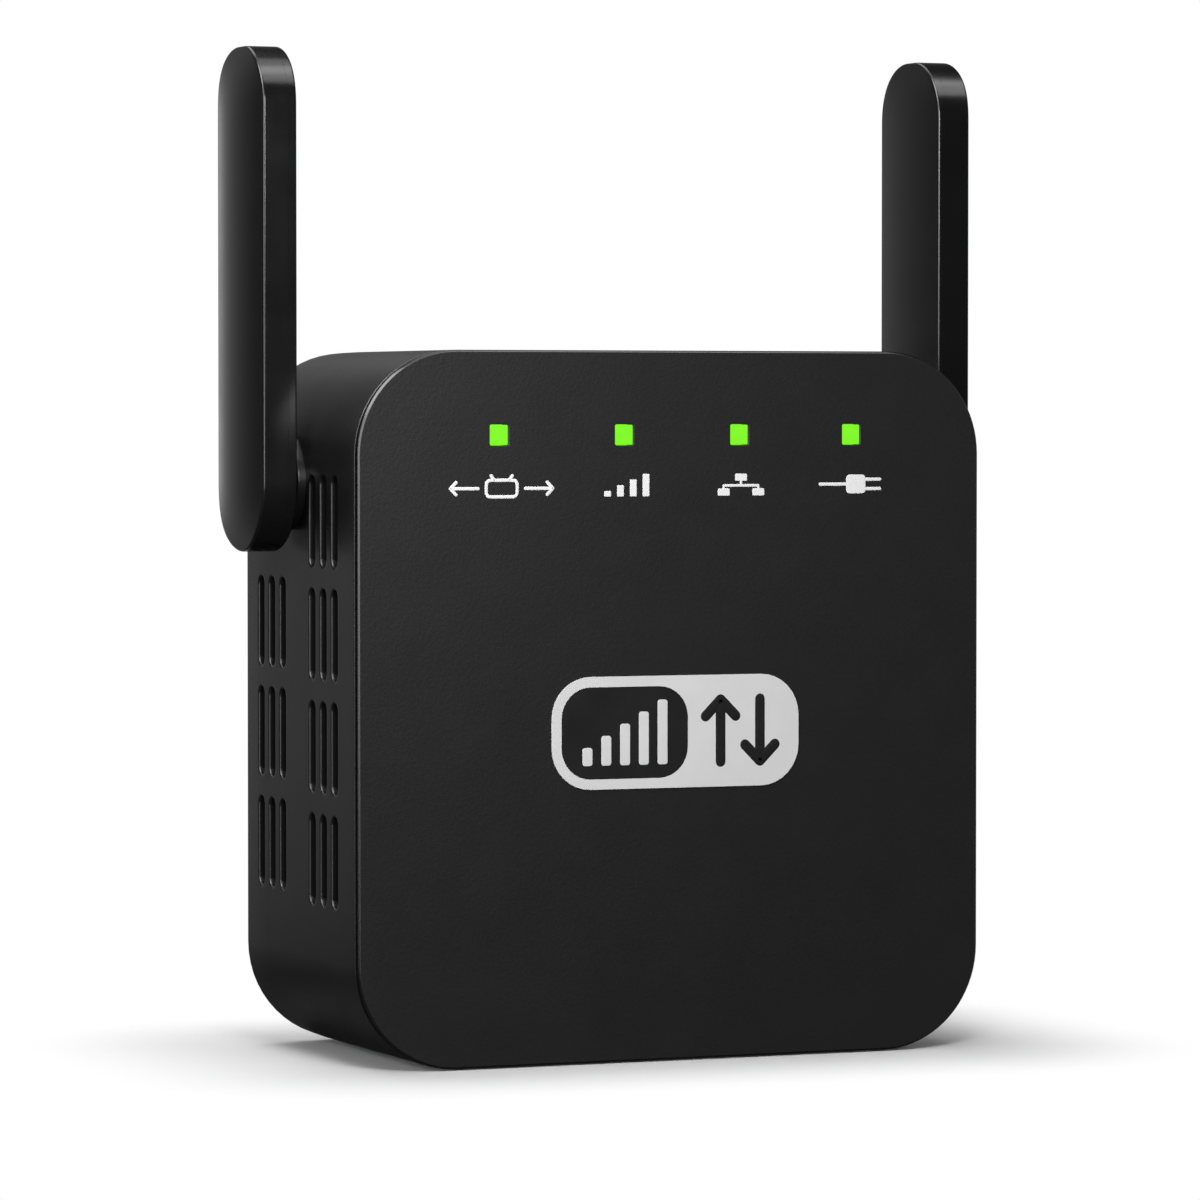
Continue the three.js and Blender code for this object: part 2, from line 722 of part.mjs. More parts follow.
function pairButton() {
  const cap = slab(pairCapOutline(0), 'z', [pairCapRecess, pairFlangeZ + pairFlangeThickness],
    { bevel: 0.3, bevelSteps: 1, curve: 2 });
  const flangeEnds = [pairFlangeZ, pairFlangeZ + pairFlangeThickness];
  const flange = slab(pairCapOutline(pairFlangeMargin), 'z', flangeEnds, { curve: 1 });
  const stem = rod('z', pairStemRadius, [pairFlangeZ + bond, pairStemTop], [pairX, keyY]);
  return joined([cap, flange, stem]);
}

/** A side-push tactile switch standing on the main board, with a hole for its plunger. */
function keySwitch(x, tip, key) {
  const start = tip + key.shows;
  const end = start + key.length;
  const half = key.width / 2;
  const collarRadius = key.plungerRadius + fitGap + 0.35;
  const holeEnd = start + key.enters + key.travel + fitGap;
  const base = block([x - half, x + half], [partsY, keyY + half / 2], [start, end]);
  const collar = rod('z', collarRadius, [start - 0.3, start + bond], [x, keyY]);
  const hole = rod('z', key.plungerRadius + fitGap, [start - 1, holeEnd], [x, keyY]);
  const foot = block([x - half - 0.6, x + half + 0.6], [partsY, partsY + 0.6], [end - 1.4, end - 0.4]);
  return joined([base, collar, foot]).subtract(hole);
}

/** A switch plunger along Z: its rounded tip shows below the switch, the rest is inside. */
function plunger(x, tip, key) {
  const radius = key.plungerRadius;
  const end = tip + key.shows + key.enters;
  const round = radius * 0.4;
  const profile = [[0, tip], [radius - round, tip], [radius, tip + round], [radius, end], [0, end]];
  const geometry = new THREE.LatheGeometry(profile.map((p) => new THREE.Vector2(...p)), 14);
  return solid(geometry.rotateX(Math.PI / 2).translate(x, keyY, 0));
}

// ---------------------------------------------------------------- antenna leads

const connectorX = 20;
const connectorRadius = 1.3;

function coaxConnector(side) {
  const x = side * connectorX;
  const base = block([x - 1.5, x + 1.5], [partsY, partsY + 0.5], [axisZ - 1.5, axisZ + 1.5]);
  const cap = rod('y', connectorRadius, [partsY + 0.3, partsY + 1.9], [x, axisZ], 16);
  return base.add(cap);
}

/** The coax inside the housing, from the antenna's pivot to the main board. */
function rootCoax(side) {
  const start = bodyWidth / 2 + leadEndX - fitGap;
  const flat = partsY + 1.2;
  const end = connectorX + connectorRadius + fitGap;
  const bendX = (start + end) / 2;
  const points = [
    [start, axisY], [start - 1.5, axisY], [bendX + 3, axisY], [bendX + 0.8, axisY - 1.2],
    [bendX, axisY - 4], [bendX - 0.3, flat + 4], [bendX - 1.2, flat + 1],
    [end + 1.2, flat], [end, flat],
  ];
  return swept(circle(coaxRadius), points.map(([x, y]) => [side * x, y, axisZ]), 14);
}

// ---------------------------------------------------------------- antennas
// Drawn for the right side, from the housing's side face outwards along +X, upright, with the
// pivot at the origin.

/** A solid that meets the paddle's long edges at x and bulges along the middle, away from side. */
function crowned(x, rise, side) {
  const half = paddleWidth / 2;
  const radius = (half * half + rise * rise) / (2 * rise);
  const facets = 4 * Math.ceil(0.6 * radius);
  const barrel = new THREE.CylinderGeometry(radius, radius, 4 * paddleLength, facets);
  barrel.rotateX(Math.PI / 2).translate(x + side * (rise - radius), 0, 0);
  return solid(barrel);
}

/** The paddle between two planes: its outline, with the end at outerX under the outer crown. */
function paddleBlank() {
  const outline = slab(paddleOutline(0), 'x', [paddleInnerX - 2, paddleOuterX], {
    bevel: paddleChamfer * 2, curve: 5,
  });
  return outline.intersect(crowned(paddleInnerX + paddleEdge, paddleCrown, 1));
}

function antennaShell() {
  const start = lidFlangeX + lidSeam;
  const hollowEnd = paddleInnerX + paddleEdge - paddleSkin;
  const hollow = slab(paddleOutline(paddleWall), 'x', [start - 1, hollowEnd], { curve: 3 });
  const inward = block([-50, start], [-50, 50], [-paddleLength, 2 * paddleLength]);
  return paddleBlank().subtract(inward.add(hollow));
}

/** The crowned inner lid with the collar and the hollow trunnion that the antenna turns on. */
function antennaLid() {
  const flange = slab(paddleOutline(0), 'x', [paddleInnerX - paddleInnerCrown, lidFlangeX], { curve: 5 })
    .intersect(crowned(paddleInnerX, paddleInnerCrown, -1));
  const plateau = slab(paddleOutline(paddleWall + lidGap), 'x', [lidFlangeX - bond, lidTopX]);
  const groove = [clipX + 0.15, clipX - clipThickness - 0.15];
  const r = trunnionRadius;
  const small = r - grooveDepth;
  const collarX = paddleInnerX - collarHeight;
  const profile = [
    [0, trunnionEndX], [r - 0.4, trunnionEndX], [r, trunnionEndX + 0.4], [r, groove[1]],
    [small, groove[1]], [small, groove[0]], [r, groove[0]], [r, collarX],
    [seatRadius, collarX], [seatRadius, paddleInnerX + bond], [0, paddleInnerX + bond],
  ];
  const trunnion = turned(profile, 'x', [0, 0]);
  const ribZ = [elementStart() + 2, elementStart() + elementLength - 2];
  const ribs = ribZ.map((z) => block([lidTopX - bond, lidTopX + elementRib],
    [-elementWidth / 2, elementWidth / 2], [z - 0.5, z + 0.5]));
  const bore = rod('x', trunnionBore, [trunnionEndX - 1, lidTopX + 1], [0, 0], 12);
  return joined([flange, plateau, trunnion, ...ribs]).subtract(bore);
}

function elementX() {
  return lidTopX + elementRib + seatGap;
}

function elementStart() {
  return paddleWidth / 2 - 1;
}

/** The printed antenna element: a long board with a feed notch at its lower end. */
function antennaElement() {
  const z = elementStart();
  const xs = [elementX(), elementX() + elementThickness];
  const board = slab(roundedRect(elementWidth, elementLength, 0.8, [0, z + elementLength / 2]), 'x', xs,
    { curve: 1 });
  const notch = slab(roundedRect(1.6, 9, 0.8, [1.8, z + 14]), 'x', [xs[0] - 1, xs[1] + 1], { curve: 1 });
  return board.subtract(notch);
}

/** The coax through the trunnion, bent up to the element's lower end. */
function antennaLead() {
  const x = lidTopX + coaxRadius + fitGap;
  const points = [
    [leadEndX, 0, 0], [leadEndX / 2, 0, 0], [x - coaxBend, 0, 0],
    [x - coaxBend * 0.3, 0, coaxBend * 0.3], [x, 0, coaxBend], [x, 0, elementStart() - fitGap],
  ];
  return swept(circle(coaxRadius), points, 14);
}

function washer() {
  const inner = trunnionRadius + fitGap;
  const xs = [washerX - washerThickness, washerX];
  const ring = rod('x', seatRadius, xs, [0, 0], 18);
  return ring.subtract(rod('x', inner, [xs[0] - 1, xs[1] + 1], [0, 0], 18));
}

/** An open spring clip in the trunnion's groove, with rounded ends. */
function clip() {
  const inner = trunnionRadius - grooveDepth + fitGap;
  const mouth = THREE.MathUtils.degToRad(50);
  const shape = new THREE.Shape();
  shape.absarc(0, 0, inner + clipWidth, mouth, 2 * Math.PI - mouth, false);
  shape.absarc(0, 0, inner, 2 * Math.PI - mouth, mouth, true);
  shape.closePath();
  return slab(shape, 'x', [clipX - clipThickness, clipX], { curve: 8 });
}

function antenna(label, side) {
  const group = new THREE.Group();
  group.position.set(side * bodyWidth / 2, axisY, axisZ);
  group.rotation.z = side < 0 ? Math.PI : 0;
  group.add(
    piece(`${label}_antenna_shell`, antennaShell(), blackGlossPlastic),
    piece(`${label}_antenna_lid`, antennaLid(), blackPlastic),
    piece(`${label}_antenna_element`, antennaElement(), greenBoard),
    piece(`${label}_antenna_lead`, antennaLead(), greyCable),
    piece(`${label}_antenna_washer`, washer(), rubber),
    piece(`${label}_antenna_clip`, clip(), tinnedSteel),
  );
  return group;
}

// ---------------------------------------------------------------- mains plug

function plugBlock() {
  const shell = slab(plugOutline(0), 'y', [flangeFrontY, plugFaceY],
    { bevel: plugEdgeRadius, bevelSteps: 1 });
  const flangeSize = [plugWidth + 2 * plugFlange, plugHeight + 2 * plugFlange];
  const flange = slab(roundedRect(...flangeSize, 2, [0, plugZ]), 'y', [flangeFrontY, flangeBackY]);
  const hollowEnd = plugFaceY - plugWall;
  const hollow = slab(plugOutline(plugWall), 'y', [flangeFrontY - 1, hollowEnd]);
  const pinX = [-pinSpacing / 2, pinSpacing / 2];
  const bosses = pinX.map((x) =>
    rod('y', pinBossRadius, [plugFaceY - pinBossLength, hollowEnd + bond], [x, plugZ]));
  const bores = pinX.map((x) =>
    rod('y', pinRadius + fitGap, [plugFaceY - pinBossLength - 1, plugFaceY + 1], [x, plugZ]));
  return joined([shell.add(flange).subtract(hollow), ...bosses]).subtract(joined(bores));
}

/** A round pin: a broad inner end, a necked stretch under the sleeve and a rounded tip. */
function plugPin(side) {
  const tip = plugFaceY + pinLength;
  const neck = sleeveRadius - sleeveWall - fitGap;
  const neckStart = plugFaceY - sleeveSunk - fitGap;
  const neckEnd = plugFaceY + sleeveLength + fitGap;
  const shoulder = plugFaceY - pinBossLength - seatGap;
  const profile = [
    [0, pinTailY], [neck, pinTailY], [neck, shoulder - 1.2], [pinRadius + 0.8, shoulder - 1.2],
    [pinRadius + 0.8, shoulder], [pinRadius, shoulder], [pinRadius, neckStart], [neck, neckStart],
    [neck, neckEnd], [pinRadius, neckEnd], [pinRadius, tip - 1.5], [pinRadius * 0.8, tip - 0.4],
    [pinRadius * 0.4, tip], [0, tip],
  ];
  return turned(profile, 'y', [side * pinSpacing / 2, plugZ], 12);
}

function pinSleeve(side) {
  const span = [plugFaceY - sleeveSunk, plugFaceY + sleeveLength];
  const at = [side * pinSpacing / 2, plugZ];
  const bore = rod('y', sleeveRadius - sleeveWall, [span[0] - 1, span[1] + 1], at, 16);
  return rod('y', sleeveRadius, span, at, 16).subtract(bore);
}

const springWidth = 4;
const springThickness = 0.4;

/** A leaf spring soldered to the power board, bearing on the tail of a plug pin. */
function mainsSpring(side) {
  const x = side * pinSpacing / 2;
  const foot = powerBackY + seatGap + 0.2;
  const top = pinTailY - fitGap - 0.2;
  const middle = (foot + top) / 2;
  const points = [
    [x, foot, plugZ - 7], [x, foot, plugZ - 4.5], [x, middle, plugZ - 2.4],
    [x, top, plugZ], [x, top - 0.2, plugZ + 1.2], [x, middle, plugZ + 3.2],
  ];
  const half = [springWidth / 2, springThickness / 2];
  const section = polygon([[-half[0], -half[1]], [half[0], -half[1]], half, [-half[0], half[1]]]);
  return swept(section, points, 16);
}

// ---------------------------------------------------------------- power board

function powerBoard() {
  const outline = roundedRect(powerWidth, powerHeight, 1.5, [0, plugZ]);
  const board = slab(outline, 'y', [powerFrontY, powerBackY]);
  const through = [powerFrontY - 1, powerBackY + 1];
  const isolation = slab(roundedRect(1.4, 13, 0.7, [0, plugZ]), 'y', through, { curve: 1 });
  return board
    .subtract(joined(powerScrews.map((at) => rod('y', shankBore, through, at, 16))))
    .subtract(isolation);
}

const coreWidth = 16;
const coreHeight = 14;
const coreThickness = 5;
const coreLimb = 2.2;
const coreLeg = 4.4;
const bobbinHalf = 5.9; // half its size across the board's normal

/** Two E-shaped ferrite halves closed into a frame with a middle leg. */
function transformerCore() {
  const y = powerPartsY - bobbinHalf;
  const ys = around(y, coreThickness);
  const frame = block(around(0, coreWidth), ys, around(plugZ, coreHeight));
  const windowZ = around(plugZ, coreHeight - 2 * coreLimb);
  const cuts = Object.values(sides).map((side) => {
    const xs = [side * coreLeg / 2, side * (coreWidth / 2 - coreLimb)].sort((a, b) => a - b);
    return block(xs, [ys[0] - 1, ys[1] + 1], windowZ);
  });
  return frame.subtract(joined(cuts));
}

/** The wound bobbin round the middle leg: end flanges with the taped winding between them. */
function transformerBobbin() {
  const y = powerPartsY - bobbinHalf;
  const halfX = coreWidth / 2 - coreLimb - fitGap;
  const halfZ = coreHeight / 2 - coreLimb - fitGap;
  const winding = roundedRect(2 * halfX - 0.6, 2 * bobbinHalf - 0.8, 1.2, [0, y]);
  const flange = roundedRect(2 * halfX, 2 * bobbinHalf, 0.6, [0, y]);
  const flanges = [[-halfZ, 0.8 - halfZ], [halfZ - 0.8, halfZ]].map((span) =>
    slab(flange, 'z', span.map((z) => z + plugZ), { curve: 1 }));
  const leg = [coreLeg / 2 + fitGap, coreThickness / 2 + fitGap];
  const hole = block(around(0, 2 * leg[0]), around(y, 2 * leg[1]), around(plugZ, 2 * coreHeight));
  return joined([slab(winding, 'z', [plugZ - halfZ, plugZ + halfZ]), ...flanges]).subtract(hole);
}

/** An electrolytic can with its crimp groove, standing on the power board towards the front. */
function canCapacitor(radius, height, at) {
  const base = powerPartsY;
  const profile = [
    [0, 0], [radius - 0.4, 0], [radius, 0.4], [radius, 1.2], [radius - 0.5, 1.7], [radius, 2.2],
    [radius, height - 0.4], [radius - 0.4, height], [0, height],
  ];
  const away = profile.map(([r, along]) => [r, base - along]).reverse();
  return turned(away, 'y', at);
}

function fuseResistor() {
  const z = plugZ - 14;
  const y = powerPartsY - 2.2;
  const profile = [
    [0, -7.5], [0.35, -7.5], [0.35, -4.5], [1.4, -4.2], [1.5, -3.2], [1.25, -2.6],
    [1.25, 2.6], [1.5, 3.2], [1.4, 4.2], [0.35, 4.5], [0.35, 7.5], [0, 7.5],
  ];
  const centre = 8;
  const barrel = turned(profile.map(([r, along]) => [r, along + centre]), 'x', [y, z], 8);
  const legs = [-7.2, 7.2].map((x) => rod('y', 0.35, [y, powerPartsY], [centre + x, z], 8));
  return joined([barrel, ...legs]);
}

function discCapacitor() {
  const x = 20;
  const z = plugZ - 2.5;
  const y = powerPartsY - 5.2;
  const profile = [[0, -1.3], [2.4, -1.3], [3.4, -0.6], [3.6, 0], [3.4, 0.6], [2.4, 1.3], [0, 1.3]];
  const disc = turned(profile.map(([r, along]) => [r, along + x]), 'x', [y, z], 16);
  const legs = [-2, 2].map((step) => rod('y', 0.35, [y, powerPartsY], [x, z + step], 8));
  return joined([disc, ...legs]);
}

const dcWireRadius = 0.65;

/** A wire from the power board to the main board. */
function dcLead(x) {
  const high = plugZ + 13;
  const low = plugZ + 6;
  const points = [
    [x, powerPartsY, high], [x, powerPartsY - 3, high], [x, (powerPartsY + partsY) / 2, (high + low) / 2],
    [x, partsY + 3, low], [x, partsY, low],
  ];
  return swept(circle(dcWireRadius), points, 10);
}

// ---------------------------------------------------------------- assembly

const extender = new THREE.Group();

extender.add(
  piece('front_cover', frontCover(), blackPlastic),
  piece('rear_housing', rearHousing(), blackPlastic),
  piece('light_guide', lightGuide(), clearPlastic),
  piece('main_board', mainBoard(), greenBoard),
  piece('processor', processor(), chipEpoxy),
  piece('memory_chip', leadedChip([8, 10, 1.1], 4, 0.6, [5.5, partsY, bodyHeight / 2]), chipEpoxy),
  piece('network_transformer',
    leadedChip([12, 7, 3.2], 4, 0.7, [jackX, partsY, jackBottomZ + jackLength + 6]), chipEpoxy),
  piece('rf_shield', rfShield(), tinnedSteel),
  piece('jack_body', jackBody(), chipEpoxy),
  piece('jack_contacts', jackContacts(), spring),
  piece('pair_button', pairButton(), blackGlossPlastic),
  piece('pair_switch_body', keySwitch(pairX, pairStemTop + seatGap, pairSwitch), chipEpoxy),
  piece('pair_switch_plunger', plunger(pairX, pairStemTop + seatGap, pairSwitch), acetal),
  piece('reset_switch_body', keySwitch(resetX, resetTipZ, resetSwitch), chipEpoxy),
  piece('reset_switch_plunger', plunger(resetX, resetTipZ, resetSwitch), acetal),
  piece('power_board', powerBoard(), brownBoard),
  piece('transformer_core', transformerCore(), ferrite),
  piece('transformer_bobbin', transformerBobbin(), yellowTape),
  piece('input_capacitor', canCapacitor(5, 12, [-15.5, plugZ - 12]), capSleeve),
  piece('output_capacitor', canCapacitor(4, 11, [15.5, plugZ + 11]), capSleeve),
  piece('bridge_rectifier',
    leadedChip([6, 5, 2.4], 2, 1, [18, 0, plugZ + 4]).rotate([0, 0, 180])
      .translate([0, powerPartsY, 0]), chipEpoxy),
  piece('fuse_resistor', fuseResistor(), resistorGreen),
  piece('disc_capacitor', discCapacitor(), blueEpoxy),
  piece('dc_lead_positive', dcLead(-19), redWire),
  piece('dc_lead_negative', dcLead(-21.5), blackWire),
  piece('plug_block', plugBlock(), blackPlastic),
);

ledX.forEach((x, i) => extender.add(piece(`led_${i + 1}`, led(x), whiteCeramic)));

Object.entries(sides).forEach(([label, side], i) => {
  extender.add(
    piece(`${label}_housing_screw`,
      screw(shelfY + seatGap, closingScrewLength, closingScrews[i]), zincScrew),
    piece(`${label}_board_screw`,
      screw(boardBackY + seatGap, boardScrewLength, boardScrews[i]), zincScrew),
    piece(`${label}_power_screw`,
      frontScrew(powerFrontY - seatGap, boardScrewLength, powerScrews[i]), zincScrew),
    piece(`${label}_coax_connector`, coaxConnector(side), spring),
    piece(`${label}_coax`, rootCoax(side), greyCable),
    piece(`${label}_plug_pin`, plugPin(side), nickel),
    piece(`${label}_pin_sleeve`, pinSleeve(side), chipEpoxy),
    piece(`${label}_mains_spring`, mainsSpring(side), spring),
    antenna(label, side),
  );
});

export default extender;
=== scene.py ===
import math
from functools import partial

import bmesh
import bpy
import numpy as np
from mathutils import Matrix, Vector


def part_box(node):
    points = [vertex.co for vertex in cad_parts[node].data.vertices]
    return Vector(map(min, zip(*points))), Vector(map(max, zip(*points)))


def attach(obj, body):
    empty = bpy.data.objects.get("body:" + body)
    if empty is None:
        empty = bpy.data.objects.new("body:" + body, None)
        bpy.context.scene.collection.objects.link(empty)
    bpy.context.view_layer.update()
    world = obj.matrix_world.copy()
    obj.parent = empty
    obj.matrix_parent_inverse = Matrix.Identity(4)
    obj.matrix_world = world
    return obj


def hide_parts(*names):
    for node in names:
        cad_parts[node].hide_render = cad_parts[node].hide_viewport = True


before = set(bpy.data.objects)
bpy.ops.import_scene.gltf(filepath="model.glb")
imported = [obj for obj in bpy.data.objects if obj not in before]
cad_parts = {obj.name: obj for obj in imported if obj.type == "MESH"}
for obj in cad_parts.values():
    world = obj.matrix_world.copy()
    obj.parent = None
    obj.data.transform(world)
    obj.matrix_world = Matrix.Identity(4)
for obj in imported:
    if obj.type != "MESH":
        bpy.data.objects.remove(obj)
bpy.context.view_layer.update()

# Wall-plug wireless range extender with two folding paddle antennas. Shapes are worked out in
# millimetres in the part's own frame: +X right seen from the front, -Y front, +Z up.
MM = 0.001
WELD = 2e-6  # metres within which neighbouring points are one


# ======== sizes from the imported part

def span(node):
    """Lowest and highest corner of a CAD node, in millimetres."""
    return [np.array(corner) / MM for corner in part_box(node)]


def middle(node):
    """Centre of a CAD node's box."""
    return sum(span(node)) / 2


cover_low, cover_high = span("front_cover")
housing_low, housing_high = span("rear_housing")
HALF_WIDTH, HEIGHT = cover_high[0], cover_high[2]
FRONT_Y, RIM_Y, BACK_Y = cover_low[1], housing_low[1], housing_high[1]
SEAT_X = housing_high[0]  # outer face of the round seats the antennas turn on
AXIS_Y, AXIS_Z = middle("right_antenna_washer")[1:]

WALL = 2.0
CORNER = 12.0
BACK_EDGE = 0.8
INNER_EDGE = 0.8
LIP_EDGE = 0.25  # rounding where a slot or opening breaks the outside
RIM_EDGE = 0.12
PLATE_EDGE = 0.24
PLATE_BACK = RIM_Y - 0.5
EDGE_BACK = FRONT_Y + PLATE_EDGE + 0.05  # back of the plate's border, which is thinner
SHADOW_GAP = 0.95  # between the cover's border and the housing's rim
RIM_FRONT = EDGE_BACK + SHADOW_GAP
REAR_ROLL = 0.15  # how far the side walls draw in over their last ROLL_LENGTH
ROLL_LENGTH = 8
LIP_OUTER, LIP_INNER, LIP_END = WALL + 0.25, WALL + 1.45, PLATE_BACK + 4.5
BACK_INSIDE = BACK_Y - WALL

SLOT_HALF = (1.0, 5.25)
SLOT_PITCH, SLOT_SPACE, SLOTS_IN_GROUP = 3.7, 2.5, 3
# columns of slots: y of their middle, z of their lowest end, number of groups
FRONT_SLOTS, REAR_SLOTS = (FRONT_Y + 11.45, 18.1, 4), (BACK_Y - 9.6, 19.1, 3)
WINDOW_HALF = (1.15, 1.2)
SEAT_RADIUS, SEAT_ROOT = 5.5, HALF_WIDTH - 1.5  # a seat starts inside the wall
BORE_HIDDEN = 4.2  # the wall's own bore, covered by the seat
BORE = 3.71
GAP = 0.3  # round anything that turns or passes through


# ======== surfaces

def patch(points, wraps=False, keep=None):
    """Quads between neighbours of a grid of points [i, j, xyz].

    A grid that wraps joins its last column to its first; keep is a mask of the quads that stay.
    """
    points = np.asarray(points, float)
    index = np.arange(points[..., 0].size).reshape(points.shape[:2])
    if wraps:
        index = np.hstack([index, index[:, :1]])
    quads = np.stack([index[:-1, :-1], index[1:, :-1], index[1:, 1:], index[:-1, 1:]], -1)
    quads = quads.reshape(-1, 4) if keep is None else quads[keep]
    return points.reshape(-1, 3), quads


def lines(start, *runs):
    """Grid lines from a start; each run is (end, steps), divided evenly."""
    found = [np.array([start], float)]
    for end, steps in runs:
        found.append(np.linspace(found[-1][-1], end, steps + 1)[1:])
    return np.concatenate(found)


def nearest(values, wanted):
    """Index of the value that comes nearest."""
    return int(np.argmin(np.abs(values - wanted)))


def placed_along(axis, uv, distance):
    """Points drawn in the other two axes, at a distance along one."""
    parts = [uv[..., 0], uv[..., 1]]
    parts.insert(axis, np.broadcast_to(distance, parts[0].shape))
    return np.stack(parts, -1)


along_x, along_y, along_z = (partial(placed_along, axis) for axis in range(3))


def direction(angle):
    """Unit vectors (cos a, sin a)."""
    return np.stack([np.cos(angle), np.sin(angle)], -1)


def outline(degrees, away, radii):
    """A convex outline with rounded corners, as rows (u, v, direction, radius, distance along).

    Edge k is the line at distance away_k from the origin in the direction degrees_k. Corner k's
    centre is where edges k and k + 1, both moved in by its radius, meet. Round a corner the
    direction turns about that centre, and along an edge the centre slides on to the next one.
    """
    angle, away = np.radians(degrees), np.array(away, float)
    radii = np.broadcast_to(np.asarray(radii, float), away.shape)
    normal = direction(angle)
    pairs = np.stack([normal, np.roll(normal, -1, 0)], 1)
    inner = np.stack([away - radii, np.roll(away, -1) - radii], 1)
    centre = np.linalg.solve(pairs, inner[..., None])[..., 0]
    turn = (np.roll(angle, -1) - angle) % (2 * np.pi)
    start = angle[0] + np.concatenate([[0], np.cumsum(turn)[:-1]])
    ends = [np.c_[centre, start, radii], np.c_[centre, start + turn, radii]]
    rows = np.stack(ends, 1).reshape(-1, 4)
    rows = np.vstack([rows, rows[0] + [0, 0, 2 * np.pi, 0]])
    edge_points = rows[:, :2] + rows[:, 3:] * direction(rows[:, 2])
    steps = np.linalg.norm(np.diff(edge_points, axis=0), axis=1)
    steps[0::2] = radii * turn
    return np.c_[rows, np.concatenate([[0], np.cumsum(steps)])]


def box_outline(half_u, half_v, radius, centre=(0, 0)):
    """A rounded rectangle's outline."""
    u, v = centre
    away = half_u + u, half_v + v, half_u - u, half_v - v
    return outline((0, 90, 180, 270), away, radius)


def spots(rows, counts):
    """Distances along an outline that divide its runs, corner and edge in turn, evenly."""
    marks = np.concatenate([[0], np.cumsum(counts)])
    return np.interp(np.arange(marks[-1]), marks, rows[:, 4])


def loop(rows, along, inset=0):
    """Points centre + (radius - inset) (cos a, sin a), read at distances along an outline."""
    u, v, angle, radius = (np.interp(along, rows[:, 4], column) for column in rows[:, :4].T)
    return np.stack([u, v], -1) + (radius - inset)[..., None] * direction(angle)


def carried(rows, along, profile, place):
    """A profile of (inset, distance) pairs carried round an outline."""
    inset, distance = np.array(profile, float).T[:, :, None]
    return patch(place(loop(rows, along[None], inset), distance), wraps=True)


def rounding(inset, distance, radius, way=1, steps=5, bevel=0.0):
    """Profile points of a quarter round from a flat end to a side wall: (inset + r (1 - sin t),
    distance + way r (1 - cos t)) for t from 0 to a right angle, drawn towards the straight bevel
    between its ends by the share bevel."""
    t = np.linspace(0, np.pi / 2, steps + 1)
    part = t / (np.pi / 2)
    x = (1 - bevel) * (1 - np.sin(t)) + bevel * (1 - part)
    y = (1 - bevel) * (1 - np.cos(t)) + bevel * part
    return list(zip(inset + radius * x, distance + way * radius * y))


def drawn_in(edge, place, distance, rings=4):
    """A flat end: the edge loop drawn in evenly towards its middle."""
    centre = edge.mean(0)
    scale = np.linspace(1, 0, rings + 1)[:, None, None]
    return patch(place(centre + (edge - centre) * scale, distance), wraps=True)


def tablet(rows, counts, low, high, edge, place):
    """A closed plate between two distances, its far edge rounded and its near edge sharp."""
    along = spots(rows, counts)
    way = 1 if low > high else -1
    side = [*rounding(0, high, edge, way), (0, low)]
    return [carried(rows, along, side, place),
            drawn_in(loop(rows, along, edge), place, high),
            drawn_in(loop(rows, along), place, low)]


def lathe(profile, centre, place, sides):
    """A profile of (radius, distance) turned about an axis: centre + r (cos a, sin a). It closes on
    itself unless it starts on the axis."""
    profile = [*profile, profile[0]] if profile[0][0] else profile
    radius, distance = np.array(profile, float).T[:, :, None]
    angle = np.linspace(0, 2 * np.pi, sides, endpoint=False)
    ring = centre + radius[..., None] * direction(angle)
    return patch(place(ring, distance), wraps=True)


def rim(grid):
    """A grid's boundary as one loop: up its last column, back along the top, down and out."""
    return np.concatenate([grid[-1, :-1], grid[:0:-1, -1], grid[0, :0:-1], grid[:-1, 0]])


def opening(centre, half, radius, counts, grow):
    """A rounded rectangle in step with rim(): side k, of direction n and run t, is the points
    centre + n (core + r cos a) + t (s + r sin a), with a from -45 to 45 degrees and s along it."""
    core = np.asarray(half, float) - radius
    reach = radius + grow
    sides = []
    for (c, s), steps in zip(((1, 0), (0, 1), (-1, 0), (0, -1)), [counts[1], counts[0]] * 2):
        straight = core[abs(c)]
        arc = min(3, (steps - 1) // 2) if straight > 1e-6 else steps / 2
        at, knots = np.arange(steps), [0, arc, steps - arc, steps]
        angle = np.radians(np.interp(at, knots, [-45, 0, 0, 45]))
        run = np.interp(at, knots, [-1, -1, 1, 1]) * straight + reach * np.sin(angle)
        out = core[abs(s)] + reach * np.cos(angle)
        sides.append(np.stack([out * c - run * s, out * s + run * c], -1))
    return centre + np.concatenate(sides)


def through(cell, hole, place, wall, lip, deeper=()):
    """A hole through a wall inside one cell of its grid: the cell's rim, the hole's edge rounded
    over a lip, its wall with any (grow, depth) steps deeper in, and the cell's rim inside. The
    hole is an outline as a function of (counts, grow)."""
    edge = rim(cell)
    counts = len(cell) - 1, len(cell[0]) - 1
    steps = [(lip + 0.15, 0), *rounding(0, 0, lip, steps=4), *(deeper or [(0, wall)])]
    rings = [place(hole(counts, grow), depth) for grow, depth in steps]
    return patch(np.stack([place(edge, 0), *rings, place(edge, wall)]), wraps=True)


def cut_grid(shape, cells):
    """Mask of a grid's quads, False inside the given cells (i0, i1, j0, j1)."""
    keep = np.ones((shape[0] - 1, shape[1] - 1), bool)
    for i0, i1, j0, j1 in cells:
        keep[i0:i1, j0:j1] = False
    return keep


def flat_grid(us, vs):
    """Grid [i, j, (u, v)] from its lines."""
    return np.stack(np.meshgrid(us, vs, indexing="ij"), -1)


def cell_at(us, vs, u_span, v_span):
    """Index range of the cell between two u lines and two v lines."""
    return (nearest(us, u_span[0]), nearest(us, u_span[1]),
            nearest(vs, v_span[0]), nearest(vs, v_span[1]))


def part_of(grid, cell):
    """The points of a grid that lie in or round a cell."""
    i0, i1, j0, j1 = cell
    return grid[i0:i1 + 1, j0:j1 + 1]


